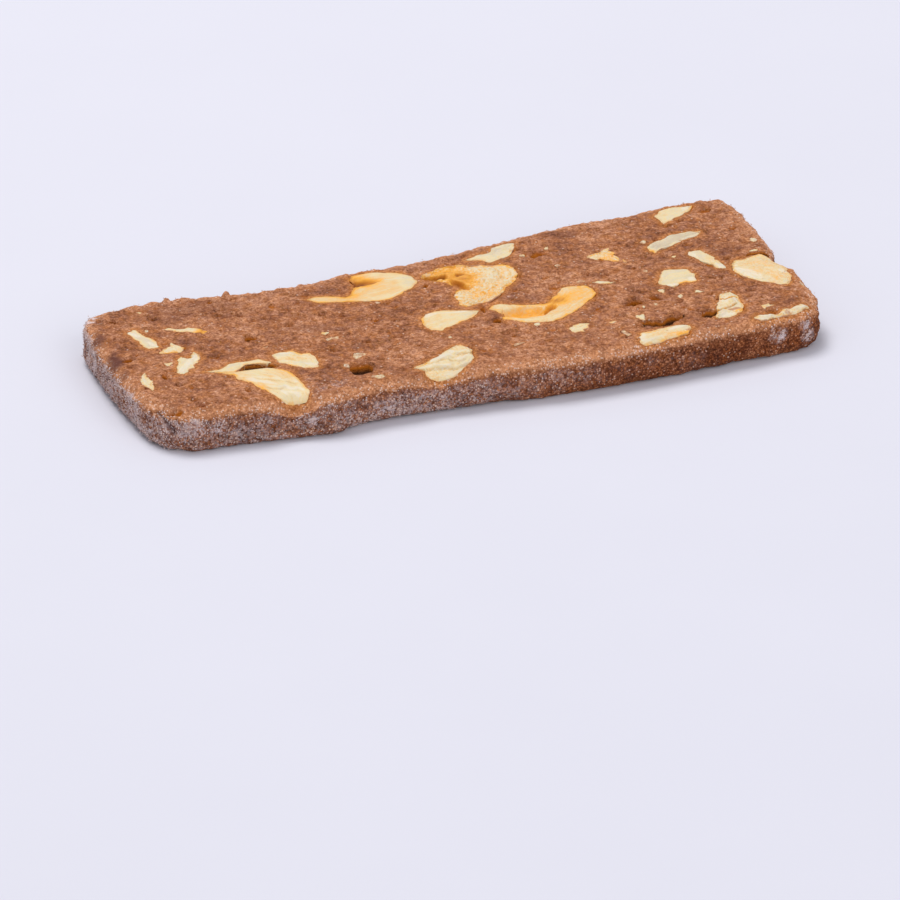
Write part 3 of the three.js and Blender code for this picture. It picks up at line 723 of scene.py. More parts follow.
     "right": ((21, -20.2), (22, -20.4), (23.4, -20.2), (25.1, -19.8), (27.5, -19.2), (28.9, -18.3)),
     "toasted": ((27.2, -19, 2, 0.6, 0.28), (24.6, -18.2, 2, 1.1, 0.14)),
     "coated": ((28.4, -18.2, 0.9, 0.7, 0.6),)},
    {"tips": ((38.2, -18.2), (47.6, -16.4)), "depth": 1.8, "tone": 0.12, "rough": 1.0, "coat": 0.2,
     "ragged": 1.7,
     "left": ((39.4, -17.3), (40.3, -17.8), (41.2, -17.4), (42.2, -17.8), (43.5, -16.9), (44.6, -17),
              (46.2, -15.9)),
     "right": ((39.5, -18.7), (41.5, -18.8), (42.4, -18.5), (43.6, -18.5), (45.6, -17.9)),
     "chalk": ((39.8, -18, 1.4, 0.5, 0), (46.4, -16.6, 1.2, 0.6, 25)),
     "coated": ((43.6, -17.6, 1.4, 1, 0.5),)},
)
# Nuts in the sole, by middle, turn in degrees, length, width, bend along the length, taper and bluntness
soleNuts = (
    {"at": (-42.6, -9.6), "turn": 62, "long": 9, "wide": 4.6, "blunt": 2.3, "depth": 2.2, "tone": 0.15,
     "rough": 0.4},
    {"at": (-40, 7.6), "turn": -18, "long": 12, "wide": 4.6, "bend": 65, "depth": 2.3, "tone": 0.22,
     "rough": 0.3},
    {"at": (-22, 1.6), "turn": 66, "long": 13, "wide": 5, "bend": -80, "blunt": 2.2, "depth": 2.4,
     "tone": 0.25, "rough": 0.5, "toasted": ((-21, 2, 1.4, 3, 0.3),)},
    {"at": (-19.4, -13.8), "turn": 18, "long": 8.6, "wide": 4, "taper": -0.3, "depth": 2.2, "tone": 0.12,
     "rough": 0.5},
    {"at": (4.4, -13.8), "turn": -24, "long": 8, "wide": 4.4, "blunt": 2.5, "depth": 2.2, "tone": 0.16,
     "rough": 0.7},
    {"at": (25.2, 11.4), "turn": 24, "long": 14, "wide": 5, "bend": 84, "blunt": 2.2, "depth": 2.4,
     "tone": 0.24, "rough": 0.3, "toasted": ((25, 12.6, 3, 1, 0.3),)},
    {"at": (26.6, -6.6), "turn": -44, "long": 10, "wide": 5.2, "taper": 0.3, "depth": 2.4, "tone": 0.18,
     "rough": 0.4},
    {"at": (34.4, -15.6), "turn": 8, "long": 8.4, "wide": 3.8, "depth": 2.1, "tone": 0.1, "rough": 0.5},
    {"at": (39.8, 11.8), "turn": 78, "long": 9, "wide": 4.4, "bend": 30, "depth": 2.3, "tone": 0.2,
     "rough": 0.4},
)
# Small flakes on the top face, without nodes of their own
flakes = (
    {"tips": ((-42.9, 0.7), (-39, 0.9)), "tone": 0.15, "rough": 0.8,
     "left": ((-41.8, 1.6), (-40.9, 2), (-40, 3.5), (-39.1, 2)), "right": ((-41.5, 0.2), (-39.8, -0.2)),
     "toasted": ((-40.6, 0.2, 0.8, 0.5, 0.25),)},
    {"tips": ((-39.5, 7.5), (-33.9, 5)), "tone": 0.13, "rough": 0.4,
     "left": ((-39, 7.8), (-36.8, 7.2), (-35.3, 6.7)),
     "right": ((-38.6, 7), (-37, 6.2), (-35.5, 5), (-34.4, 4.3)),
     "toasted": ((-34.8, 5.3, 1, 0.9, 0.45),)},
    {"tips": ((-46.6, -4.5), (-47.3, -10.6)), "tone": 0.1, "rough": 0.9,
     "left": ((-46.4, -6), (-46.6, -7.7), (-47, -9)),
     "right": ((-47.4, -5.8), (-48.1, -7.3), (-47.8, -8.6))},
    {"tips": ((23.9, 8.5), (27.7, 5.8)), "tone": 0.2, "rough": 0.9,
     "left": ((24.1, 9.2), (25.3, 9.2), (26, 9.8), (27.9, 10.7), (27.9, 8.8), (28.1, 7.1)),
     "right": ((24.6, 7.4), (25.6, 7.8), (26.8, 6.6)), "toasted": ((27, 7.6, 1, 1.2, 0.2),)},
    {"tips": ((13.1, -12.2), (16.2, -11.6)), "tone": 0.16, "rough": 0.5,
     "left": ((13.9, -11.2), (15.3, -11.1)), "right": ((13.4, -13.5), (14.6, -13.9), (15.6, -12.9))},
    {"tips": ((21.4, 0.8), (25, 0.1)), "tone": 0.08, "rough": 0.5,
     "left": ((22.7, 0.9), (23.9, 0.4)), "right": ((22.2, 0), (23.4, -0.3))},
    {"tips": ((23.3, -11), (23.9, -13.5)), "tone": 0.1, "rough": 0.8,
     "left": ((24.3, -11.7), (24.5, -12.8)), "right": ((23, -11.8), (23.4, -12.5))},
)
# Bits of nut that the knife left in the top face: place, size along x and y, tone
bits = (
    (-18.9, -1.3, 0.9, 0.9, 0.12), (-18.2, -3.3, 1.3, 0.7, 0.1), (-19.2, -3.4, 0.9, 0.9, 0.08),
    (-16.9, -9.8, 1.6, 2.0, 0.15), (-16.9, -16.9, 2.2, 1.0, 0.16), (-40.8, 14.1, 0.7, 0.8, 0.15),
    (-41.7, 8.1, 0.8, 0.7, 0.1), (-28.1, -2.4, 0.7, 1.0, 0.2), (48, 5.8, 0.9, 1.2, 0.08),
    (20, 13.6, 0.7, 1.1, 0.06), (15.8, 12.7, 1.0, 0.8, 0.08), (33.2, 10.6, 0.9, 0.9, 0.1),
    (49, -9.6, 0.8, 1.5, 0.15), (31.5, -7.8, 0.9, 1.8, 0.08), (34.4, -7.3, 1.4, 0.8, 0.1),
    (29.6, -5.0, 1.0, 1.6, 0.2), (20.4, 1.7, 1.4, 0.8, 0.12), (19.9, -16.2, 0.8, 1.8, 0.15),
    (19.6, -12.3, 1.3, 0.9, 0.25), (4.7, -14.1, 1.4, 0.7, 0.14), (41.6, -15, 1.8, 1.2, 0.2),
    (25.5, -9.2, 0.6, 0.7, 0.1), (27.3, -9.1, 0.7, 0.7, 0.1), (-42.4, -3, 1.1, 0.9, 0.2),
    (-8.6, 5.3, 0.9, 0.9, 0.12), (19.1, 7.5, 0.9, 0.8, 0.15), (28.4, 5.6, 0.6, 1.2, 0.55),
    (9.6, -9.3, 0.7, 0.9, 0.1), (-19.7, -12.1, 0.7, 1.2, 0.1), (46.4, 2.5, 1.6, 0.6, 0.12),
    (-3.2, -8.8, 0.6, 0.8, 0.1), (29.9, 1.6, 0.7, 0.8, 0.1), (35.6, 4.6, 0.7, 1.0, 0.1),
)
smallLook = {
    "seed": 21,
    "flakeRagged": 2.2,
    "corners": 10,  # of a bit
    "growth": 1.2,
    "radius": (0.4, 1.25),
    "coat": (0.2, 0.6),
    "toneShare": 0.6,
    "rough": 0.9,
    "ragged": 1.8,
}
# Holes and cracks that baked into the top face, each painted black as shadow from the depth dark down
holes = (
    {"tips": ((-20.1, -13.7), (-16, -13.4)), "depth": 2.8, "dark": 1.55, "ragged": 2.2,
     "left": ((-19.7, -12.3), (-18, -11.9), (-16.5, -12.1)),
     "right": ((-19.7, -15), (-18, -15.5), (-16.7, -15))},
    {"tips": ((22.7, -12.3), (30, -13.8)), "depth": 2.2, "dark": 1.05, "ragged": 2.2,
     "left": ((23.3, -13), (24.3, -13.6), (25.6, -14), (27, -13.7), (28.4, -13.1)),
     "right": ((22.8, -13.8), (23.5, -15), (24.8, -15.8), (26.6, -16), (28.3, -15.2))},
    {"tips": ((-34.3, -8.6), (-28.2, -8.9)), "depth": 2, "dark": 0.8,
     "left": ((-33.6, -7.7), (-32.6, -6.8), (-31.3, -7), (-29.8, -7.5), (-28.7, -7.6)),
     "right": ((-32.2, -8.8), (-30.6, -9.2), (-29.4, -9.1))},
    {"tips": ((31.6, -14.8), (34.9, -13.8)), "depth": 1.8, "dark": 1.0, "ragged": 2.2,
     "left": ((32.2, -13.5), (33.4, -13.2)), "right": ((32.6, -15.8), (34, -15.4))},
    {"tips": ((44.4, 1.0), (49.3, 0.8)), "depth": 1.6, "dark": 0.6,
     "left": ((45.6, 2.1), (47.2, 2.2), (48.4, 1.6)), "right": ((46.2, 1.1), (48, 0.4))},
)
# Small pits: place, length, width, turn, depth, and the depth from which they are painted black as shadow
pits = (
    (24.8, -7.2, 3.2, 2.1, 5, 1.7, 1.5), (28.4, -7, 3.0, 1.4, -35, 1.4, 1.4),
    (-29.1, 0.9, 2.4, 1.8, 0, 1.1, 1.0), (18.5, 12.4, 3.0, 1.3, -5, 0.6, 1.0),
    (-47.4, 0.2, 2.2, 1.6, 20, 0.9, 1.0), (4.8, -5.8, 2.2, 1.5, 60, 1.1, 1.0),
    (4.3, -1.7, 2.4, 0.9, 80, 0.8, 1.0), (-0.4, 8.2, 2.2, 0.9, 75, 0.9, 1.0),
    (-17.4, 11.3, 3.0, 1.0, -10, 0.5, 1.0), (-44.3, -6.3, 2.6, 0.9, 80, 0.9, 1.0),
    (5.9, 13.3, 1.8, 0.7, 0, 0.5, 1.0), (46.9, 10.6, 1.5, 1.0, 15, 0.8, 1.0),
    (45.4, 17.2, 1.9, 1.2, 10, 0.7, 1.0), (-7.6, 4.5, 1.7, 0.7, 0, 0.5, 1.0),
)
# Darker places in the dough: place, length, width, turn, amount
darkPatches = (
    (-48.9, 7.7, 4.4, 2.4, 75, 0.7), (-48.9, 0.7, 5.2, 2.6, 75, 0.85), (-49.1, -3.8, 3.4, 1.8, 80, 0.5),
    (-33, 12.4, 20, 6, -6, 0.3), (-19.5, 0.4, 11, 2.6, -20, 0.3), (-21.5, 1.6, 4, 2.2, -5, 0.3),
    (-30, 8.9, 8, 2.2, -10, 0.3), (-36.9, 10.4, 5, 3, -10, 0.35), (23.6, 17, 7, 3, 0, 0.35),
    (-37.9, 3, 3.6, 3, 10, 0.45), (11.6, -1, 4, 2.2, 0, 0.3), (42.2, 3.6, 4, 3, 40, 0.3),
    (39, 4, 16, 9, 20, 0.12), (30.3, 0.2, 1.8, 1.2, 60, 0.5), (5.2, -4.4, 4, 2, 60, 0.3),
)


# A bit's outline: points round an oval, each at a random share of its radius.
def bitShape(place, rng):
    x, y, sizeX, sizeY, tone = place
    corners = smallLook["corners"]
    half = corners // 2
    angle = np.linspace(np.pi, -np.pi, corners, endpoint=False)
    radius = smallLook["growth"] * rng.uniform(*smallLook["radius"], corners)
    line = np.column_stack([x + sizeX / 2 * radius * np.cos(angle), y + sizeY / 2 * radius * np.sin(angle)])
    shape = {"tips": (line[0], line[half]), "left": line[1:half], "right": line[:half:-1]}
    shape["coat"] = rng.uniform(*smallLook["coat"])
    shape["tone"] = smallLook["toneShare"] * tone
    return {**shape, "rough": smallLook["rough"], "ragged": smallLook["ragged"]}


bitRandom = np.random.default_rng(smallLook["seed"])
smallNuts = tuple({"ragged": smallLook["flakeRagged"], **flake} for flake in flakes)
smallNuts += tuple(bitShape(place, bitRandom) for place in bits)


# Places in a nut's own frame, in mm along and aside: turned back, and unrolled from the arc of its bend.
def unrolled(xy, nut):
    turn = np.radians(nut["turn"])
    apart = xy - np.asarray(nut["at"])
    along = apart @ (np.cos(turn), np.sin(turn))
    aside = apart @ (-np.sin(turn), np.cos(turn))
    if nut.get("bend"):
        radius = nut["long"] / np.radians(nut["bend"])
        side = np.sign(radius)
        reach = np.hypot(along, radius - aside)
        along = radius * np.arctan2(side * along, side * (radius - aside))
        aside = radius - side * reach
    return along, aside


# The same the other way: rolled on to the arc, turned, and put in its place.
def rolled(along, aside, nut):
    turn = np.radians(nut["turn"])
    if nut.get("bend"):
        radius = nut["long"] / np.radians(nut["bend"])
        reach = radius - aside
        aside = radius - reach * np.cos(along / radius)
        along = reach * np.sin(along / radius)
    x = nut["at"][0] + along * np.cos(turn) - aside * np.sin(turn)
    y = nut["at"][1] + along * np.sin(turn) + aside * np.cos(turn)
    return x, y


# How far out a place lies in an oval: 0 in the middle, 1 on its outline.
def outness(xy, oval):
    along, aside = unrolled(xy, oval)
    return np.hypot(along / (oval["long"] / 2), aside / (oval["wide"] / 2))


# The way to each place from the nearest point of a closed line.
def fromLine(xy, line):
    way = np.roll(line, -1, axis=0) - line
    apart = xy[:, None] - line
    share = np.clip((apart * way).sum(axis=2) / (way ** 2).sum(axis=1), 0, 1)
    offsets = apart - share[..., None] * way
    nearest = (offsets ** 2).sum(axis=2).argmin(axis=1)
    return offsets[np.arange(len(xy)), nearest]


# Distance from a closed line, below 0 inside it, where a way along x crosses the line an odd number of times.
def lineDistance(xy, line):
    way = np.roll(line, -1, axis=0) - line
    spans = (line[:, 1] > xy[:, 1:]) != (np.roll(line[:, 1], -1) > xy[:, 1:])
    slant = way[:, 0] / np.where(way[:, 1] == 0, 1, way[:, 1])
    crossing = line[:, 0] + (xy[:, 1:] - line[:, 1]) * slant
    inside = (spans & (xy[:, :1] < crossing)).sum(axis=1) % 2
    return np.linalg.norm(fromLine(xy, line), axis=1) * np.where(inside, -1, 1)


slab = {
    "thickness": 6.0,
    "girth": 2.7,  # height of the widest line
    "soften": 0.5,  # smoothing along the outline
    "cellsLong": 364,
    "cellsWide": 152,
    "sideRows": 26,
    "soleBand": 0.5,
    "girthRoom": 0.02,
    "ringSteps": 6000,
    "rimStep": 4,  # distances to the rim use one point of it in so many
    "profile": (  # height, inset
        (0, 1.1), (0.35, 0.45), (1.1, 0.1), (2.7, 0), (5.2, 0.03), (5.75, 0.12), (6, 0.38),
    ),
    "chips": (  # where the upper rim crumbled: place, reach, depth
        ((-47.4, -16), 2, 0.8), ((48.6, -16.6), 2.4, 0.7), ((42.5, -19.4), 4.2, 0.7),
        ((-20.5, -20.2), 2.2, 0.3),
    ),
    "sags": (  # where the upper rim hangs: place, reach along x and y, drop
        ((-30, -19.9), (3.2, 2.0), 2.2), ((-42.5, -18.8), (3.5, 1.5), 0.3),
        ((-8.8, -19.6), (3.2, 1.6), 1.0), ((49, -15.5), (2, 2), 0.4),
    ),
    "bevel": {  # the rounding of the upper rim
        "drop": 0.75,
        "backDrop": 0.25,
        "back": (0, 14),  # along y, where the drop goes over to the back's
        "reach": 1.35,
        "from": 4.2,
    },
    "grooves": (  # from, to, width, depth
        ((-48.8, -15.2, 5.6), (-48.2, -16.6, 4.6), 0.4, 0.8),
        ((-48.2, -16.6, 4.6), (-47.2, -17.7, 3.0), 0.4, 0.8),
        ((50.0, -12.5, 3.6), (48.6, -17.4, 3.2), 0.5, 1.3),
        ((-33, -21.4, 1.5), (-22.5, -21.4, 1.7), 0.3, 0.6),
    ),
    "lip": {
        "start": -46,
        "end": -22,
        "ramp": 1.5,
        "out": 0.8,
        "height": 1.2,
        "fade": 0.5,
        "facing": (0.5, 0.9),  # how far the edge faces forward
    },
    "faceRelief": (((7, 4, 7), 0.10), ((2.6, 1.5, 2), 0.10)),  # sizes along x, y, z and height
    "faceGrit": (((1.1, 0.9, 1), 0.17), ((0.6, 0.55, 0.5), 0.12)),
    "gritBase": 0.6,
    "gritPatches": (((6, 3.5, 6), 0.6),),
    "edgeRelief": (((4, 4, 3), 0.18), ((1.6, 1.6, 1.3), 0.13), ((0.7, 0.7, 0.7), 0.11)),
    "leastGrit": 0.05,
    "pebbleSize": 0.62,
    "pebbleHeight": 0.18,
    "pebbleMiddle": 0.4,
    "level": 0.7,  # how far a point faces up or down to be on a face
    "snap": 0.14,  # grid points this close to an outline move on to it
    "snapTilt": 0.1,
    "underNut": 0.03,  # how far the face dips where a nut's edge lies on it
    "soleDip": 0.12,
    "rim": {  # the gritty band along the upper rim, with a painted highlight and more flour
        "farthest": 9.0,
        "shake": ((1.3, 0.35),),  # size, share
        "crestShake": ((1.2, 0.5),),
        "crestDown": 1.35,
        "crestIn": 0.95,
        "crestTilt": 0.05,
        "grit": 0.8,
        "gritReach": (0.1, 1.2),
        "side": 0.85,
    },
    "pocket": {"room": 0.12, "flake": 0.3, "near": 1.5, "calm": 0.7, "wall": (0.05, 0.3), "half": 0.5,
               "floor": (0.3, 1.3), "seep": 0.6},
    "moat": {"depth": 0.3, "out": 0.1, "width": 0.2, "size": 1.6, "gaps": (0.2, 0.8)},  # round the nuts, painted amber and dark as shade
    "pit": {"near": 0.5, "wall": 0.16, "slope": (0.5, 1.05), "shake": 0.3, "shakeSize": 0.8, "apart": 23,
            "cutsNuts": 0.8},
    # darker places, and the grooves' painted shadow
    "stainAndShadow": {"level": 0.2, "shake": (((1.3, 1.0, 1.0), 0.25),), "fade": (0.3, 1.15), "grooveShadow": 0.85},
    "crumbs": (((-35.9, 16.4), 0.42, 0.75), ((-27.6, 14.9), 0.5, 0.9)),  # place, reach, height
    "flour": {
        "base": 0.78,
        "patches": (((9, 9, 5), 0.3),),
        "thin": 0.6,  # less flour to the right of these places along x
        "thinAlong": (-10, 25),
        "endMore": 0.6,
        "endAlong": (44, 48),
        "share": (0.1, 1),
        "edgePower": 0.7,
        "ledge": 0.05,
        "crest": 0.75,
        "drifts": ((1.7, 1.0), (0.7, 0.6)),
        "driftShare": 0.36,
        "clumpBase": 0.8,
        "clumps": ((0.9, 0.6), (0.4, 0.5)),
        "spots": (  # place, reach, share
            ((-47.6, 14.7, 5.6), 1.4, 2.6), ((41.4, -19.4, 3.4), 1.3, 2.0), ((45.8, -18.9, 4.2), 1.0, 2.1),
            ((46.2, -18.9, 2.4), 1.0, 2.0), ((-28, -20.4, 2.4), 1.3, 1.7), ((-25, -20.8, 3.4), 0.9, 1.6),
            ((-25, -20.6, 3), 6, 0.9),
        ),
    },
}
crevices = {
    "seed": 3,
    "count": 240,
    "within": (48.0, 19.0),  # of the middle
    "long": (0.6, 2.2),
    "wide": (0.5, 1.1),
    "depth": (0.25, 1.1),
    "turn": (-25.0, 12.0),
    "dark": (0.9, 1.8),  # painted black as shadow from this depth at least, and from this multiple of its own depth
}


# The slice's widest line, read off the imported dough: its corners at the girth in order round the middle,
# smoothed by a bell-shaped mean, then stepped evenly between the four corners. Gives points and outward ways.
def sliceRing():
    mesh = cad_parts["dough"].data
    corners = np.empty(3 * len(mesh.vertices), np.float32)
    mesh.vertices.foreach_get("co", corners)
    corners = corners.reshape(-1, 3).astype(float) / mm
    girth = corners[np.abs(corners[:, 2] - slab["girth"]) < slab["girthRoom"]][:, :2]
    girth = np.unique(girth.round(2), axis=0)
    girth = girth[np.argsort(np.arctan2(girth[:, 1], girth[:, 0]))]
    closed = np.vstack([girth, girth[:1]])
    gone = farAlong(closed)
    count = slab["ringSteps"]
    line = pointsAlong(closed, gone, np.linspace(0, gone[-1], count, endpoint=False))
    waves = np.fft.fftfreq(count, gone[-1] / count)
    kept = np.exp(-2 * (np.pi * waves * slab["soften"]) ** 2)
    line = np.fft.ifft(np.fft.fft(line, axis=0) * kept[:, None], axis=0).real
    starts = [int(np.argmax(line @ way)) for way in ((-1, -1), (1, -1), (1, 1), (-1, 1))]
    line = np.roll(line, -starts[0], axis=0)
    starts = [(start - starts[0]) % count for start in starts] + [count]
    line = np.vstack([line, line[:1]])
    sides = []
    for k, cells in enumerate((slab["cellsLong"], slab["cellsWide"]) * 2):
        part = line[starts[k]:starts[k + 1] + 1]
        far = farAlong(part)
        sides.append(pointsAlong(part, far, np.linspace(0, far[-1], cells, endpoint=False)))
    ring = np.vstack(sides)
    ahead = np.roll(ring, -1, axis=0) - np.roll(ring, 1, axis=0)
    ahead /= np.linalg.norm(ahead, axis=1, keepdims=True)
    return ring, np.column_stack([ahead[:, 1], -ahead[:, 0]])


# Numbers of a ring's points as the border of a grid, with the inner points numbered from first.
def borderGrid(ring, first, wide, long):
    grid = np.empty((wide + 1, long + 1), int)
    grid[1:-1, 1:-1] = first + np.arange((wide - 1) * (long - 1)).reshape(wide - 1, long - 1)
    grid[0] = ring[:long + 1]
    grid[:, -1] = ring[long:long + wide + 1]
    grid[-1] = ring[long + wide:2 * long + wide + 1][::-1]
    grid[:, 0] = np.append(ring[2 * long + wide:], ring[0])[::-1]
    return grid


# Inner points of a sheet stretched between its four sides: the two blends of facing sides, less the
# blend of the corners.
def stretchedSheet(ring, wide, long):
    border = borderGrid(np.arange(len(ring)), 0, wide, long)
    front, back = ring[border[0]], ring[border[-1]]
    left, right = ring[border[:, 0]], ring[border[:, -1]]
    v, u = np.meshgrid(np.linspace(0, 1, wide + 1), np.linspace(0, 1, long + 1), indexing="ij")
    u, v = u[..., None], v[..., None]
    sides = (1 - v) * front + v * back + (1 - u) * left[:, None] + u * right[:, None]
    ends = (1 - u) * (1 - v) * front[0] + u * (1 - v) * front[-1] + (1 - u) * v * back[0] + u * v * back[-1]
    return (sides - ends)[1:-1, 1:-1].reshape(-1, 2)


# Heights and insets of the edge's rows, even along the profile and rounded where it turns.
def edgeRows():
    profile = np.array(slab["profile"], float)[::-1]
    far = farAlong(profile)
    rows = pointsAlong(profile, far, np.linspace(0, far[-1], slab["sideRows"] + 1))
    rows[1:-1] = (rows[:-2] + 2 * rows[1:-1] + rows[2:]) / 4
    return rows.T


# The slice's edge: rows round its widest line, drawn in by the profile and the chips, and out by the lip.
def sliceEdge():
    ring, outward = sliceRing()
    heights, insets = edgeRows()
    chip = sum(deep * spotAt(ring, at, reach) for at, reach, deep in slab["chips"])
    lip = slab["lip"]
    lipOut = lip["out"] * ease(-outward[:, 1], *lip["facing"])
    lipOut *= ease(ring[:, 0], lip["start"], lip["start"] + lip["ramp"])
    lipOut *= 1 - ease(ring[:, 0], lip["end"] - lip["ramp"], lip["end"])
    crumble = np.clip((heights - slab["girth"]) / (slab["thickness"] - slab["girth"]), 0, 1) ** 2
    lipShare = 1 - ease(heights, lip["height"], lip["height"] + lip["fade"])
    out = np.outer(lipShare, lipOut) - insets[:, None] - np.outer(crumble, chip)
    side = ring + outward * out[..., None]
    levels = np.broadcast_to(heights[:, None, None], out.shape + (1,))
    return np.concatenate([side, levels], axis=2), outward


# The slice before any relief: its edge, a sheet across the top and a coarser one below.
def sliceShape(side, outward):
    long, wide, count = slab["cellsLong"], slab["cellsWide"], len(outward)
    top = stretchedSheet(side[0, :, :2], wide, long)
    coarse = side[-1, ::2, :2] - slab["soleBand"] * outward[::2]
    sole = stretchedSheet(coarse, wide // 2, long // 2)
    flat = (side.reshape(-1, 3), (top, slab["thickness"]), (coarse, 0.0), (sole, 0.0))
    points = np.vstack([flat[0]] + [np.column_stack([xy, np.full(len(xy), z)]) for xy, z in flat[1:]])

    sideGrid = np.arange(side[..., 0].size).reshape(-1, count)
    firstTop = sideGrid.size
    firstCoarse = firstTop + len(top)
    coarseRing = firstCoarse + np.arange(count // 2)
    topGrid = borderGrid(sideGrid[0], firstTop, wide, long)
    soleGrid = borderGrid(coarseRing, firstCoarse + count // 2, wide // 2, long // 2)
    sideQuads = gridQuads(np.column_stack([sideGrid, sideGrid[:, 0]]))[:, ::-1]
    quads = np.vstack([sideQuads, gridQuads(topGrid), gridQuads(soleGrid)[:, ::-1]])
    near, half, far = sideGrid[-1, ::2], sideGrid[-1, 1::2], np.roll(sideGrid[-1, ::2], -1)
    nextCoarse = np.roll(coarseRing, -1)
    band = ((near, coarseRing, half), (half, nextCoarse, far), (half, coarseRing, nextCoarse))
    triangles = np.vstack([np.column_stack(corner) for corner in band])
    return points, quads, triangles


# How far the upper rim hangs and rounds off: bell-shaped drops, less of them lower down, and a parabola that
# falls towards the rim.
def sagOf(points):
    bevel, thickness = slab["bevel"], slab["thickness"]
    hang = sum(drop * spotAt(points[:, :2], at, reach) for at, reach, drop in slab["sags"])
    hang *= np.clip(points[:, 2] / thickness, 0, 1) ** 2
    high = np.flatnonzero(points[:, 2] > bevel["from"])
    inward = np.clip(-lineDistance(points[high, :2], coarseRim), 0, None)
    drop = bevel["drop"] + (bevel["backDrop"] - bevel["drop"]) * ease(points[high, 1], *bevel["back"])
    drop *= np.clip(1 - inward / bevel["reach"], 0, 1) ** 2
    hang[high] += drop * ease(points[high, 2], bevel["from"], thickness)
    return hang


# Long narrow pits at random, mostly along the knife's way.
def randomCrevices():
    rng = np.random.default_rng(crevices["seed"])
    keys = ("long", "wide", "depth", "turn")
    lows, highs = np.array([crevices[key] for key in keys]).T
    within = np.array(crevices["within"])
    places = rng.uniform(-within, within, (crevices["count"], 2))
    sizes = rng.uniform(lows, highs, (crevices["count"], len(keys)))
    least, share = crevices["dark"]
    slits = [dict(zip(keys, size), at=at) for at, size in zip(places, sizes)]
    return [{**slit, "dark": max(least, share * slit["depth"])} for slit in slits]


outlines = {
    "step": 0.17,
    "fewestSteps": 8,
    "ovalSteps": 40,
    "shakes": ((0.9, 0.15), (0.42, 0.07)),  # size, amount
    "shakeApart": 17,
    "shakeFrom": 3.5,  # shorter outlines are shaken less
    "rimRoom": 0.3,
}


# The two sides of a nut or hole from tip to tip: through the points given, or the halves of a blunt oval,
# stepped evenly, rounded by the mean of neighbours, shaken by smooth fields, and held inside the rim.
def twoSides(shape, rim):
    if "tips" in shape:
        start, end = shape["tips"]
        sides = [np.array([start, *shape[key], end], float) for key in ("left", "right")]
    else:
        angle = np.linspace(0, np.pi, outlines["ovalSteps"])
        power = 2 / shape.get("blunt", 2)
        u = -np.sign(np.cos(angle)) * np.abs(np.cos(angle)) ** power
        aside = shape["wide"] / 2 * np.sin(angle) ** power * (1 + shape.get("taper", 0) * u)
        sides = [np.column_stack(rolled(u * shape["long"] / 2, side, shape)) for side in (aside, -aside)]
    fars = [farAlong(side) for side in sides]
    longest = max(far[-1] for far in fars)
    steps = max(outlines["fewestSteps"], int(longest / outlines["step"]))
    even = np.linspace(0, 1, steps + 1)
    line = closedLine(*(pointsAlong(side, far, even * far[-1]) for side, far in zip(sides, fars)))
    line = (np.roll(line, 1, axis=0) + 2 * line + np.roll(line, -1, axis=0)) / 4
    places = np.column_stack([line, np.zeros(len(line))])
    calm = shape.get("ragged", 1) * min(1, longest / outlines["shakeFrom"])
    for size, amount in outlines["shakes"]:
        line = line + calm * amount * shakeOf(places, size, outlines["shakeApart"])
    short = np.clip(outlines["rimRoom"] + lineDistance(line, rim[0]), 0, None)
    nearest = np.linalg.norm(line[:, None] - rim[0], axis=2).argmin(axis=1)
    line = line - rim[1][nearest] * short[:, None]
    right = line[:steps + 1]
    left = np.vstack([line[:1], line[steps:][::-1]])
    return left, right


# One line round both sides: out along the right one and back along the left.
def closedLine(left, right):
    return np.vstack([right, left[1:-1][::-1]])


# How deep a pit goes at each place: full in its middle, with walls that fall steeply from its outline.
def pitDepth(xy, pit):
    return pit["depth"] * (1 - ease(outness(xy, pit), *slab["pit"]["slope"]))


# The points of a face within reach of a line.
def nearLine(xy, face, line, reach):
    low, high = line.min(axis=0) - reach, line.max(axis=0) + reach
    return np.flatnonzero(face & ((xy > low) & (xy < high)).all(axis=1))


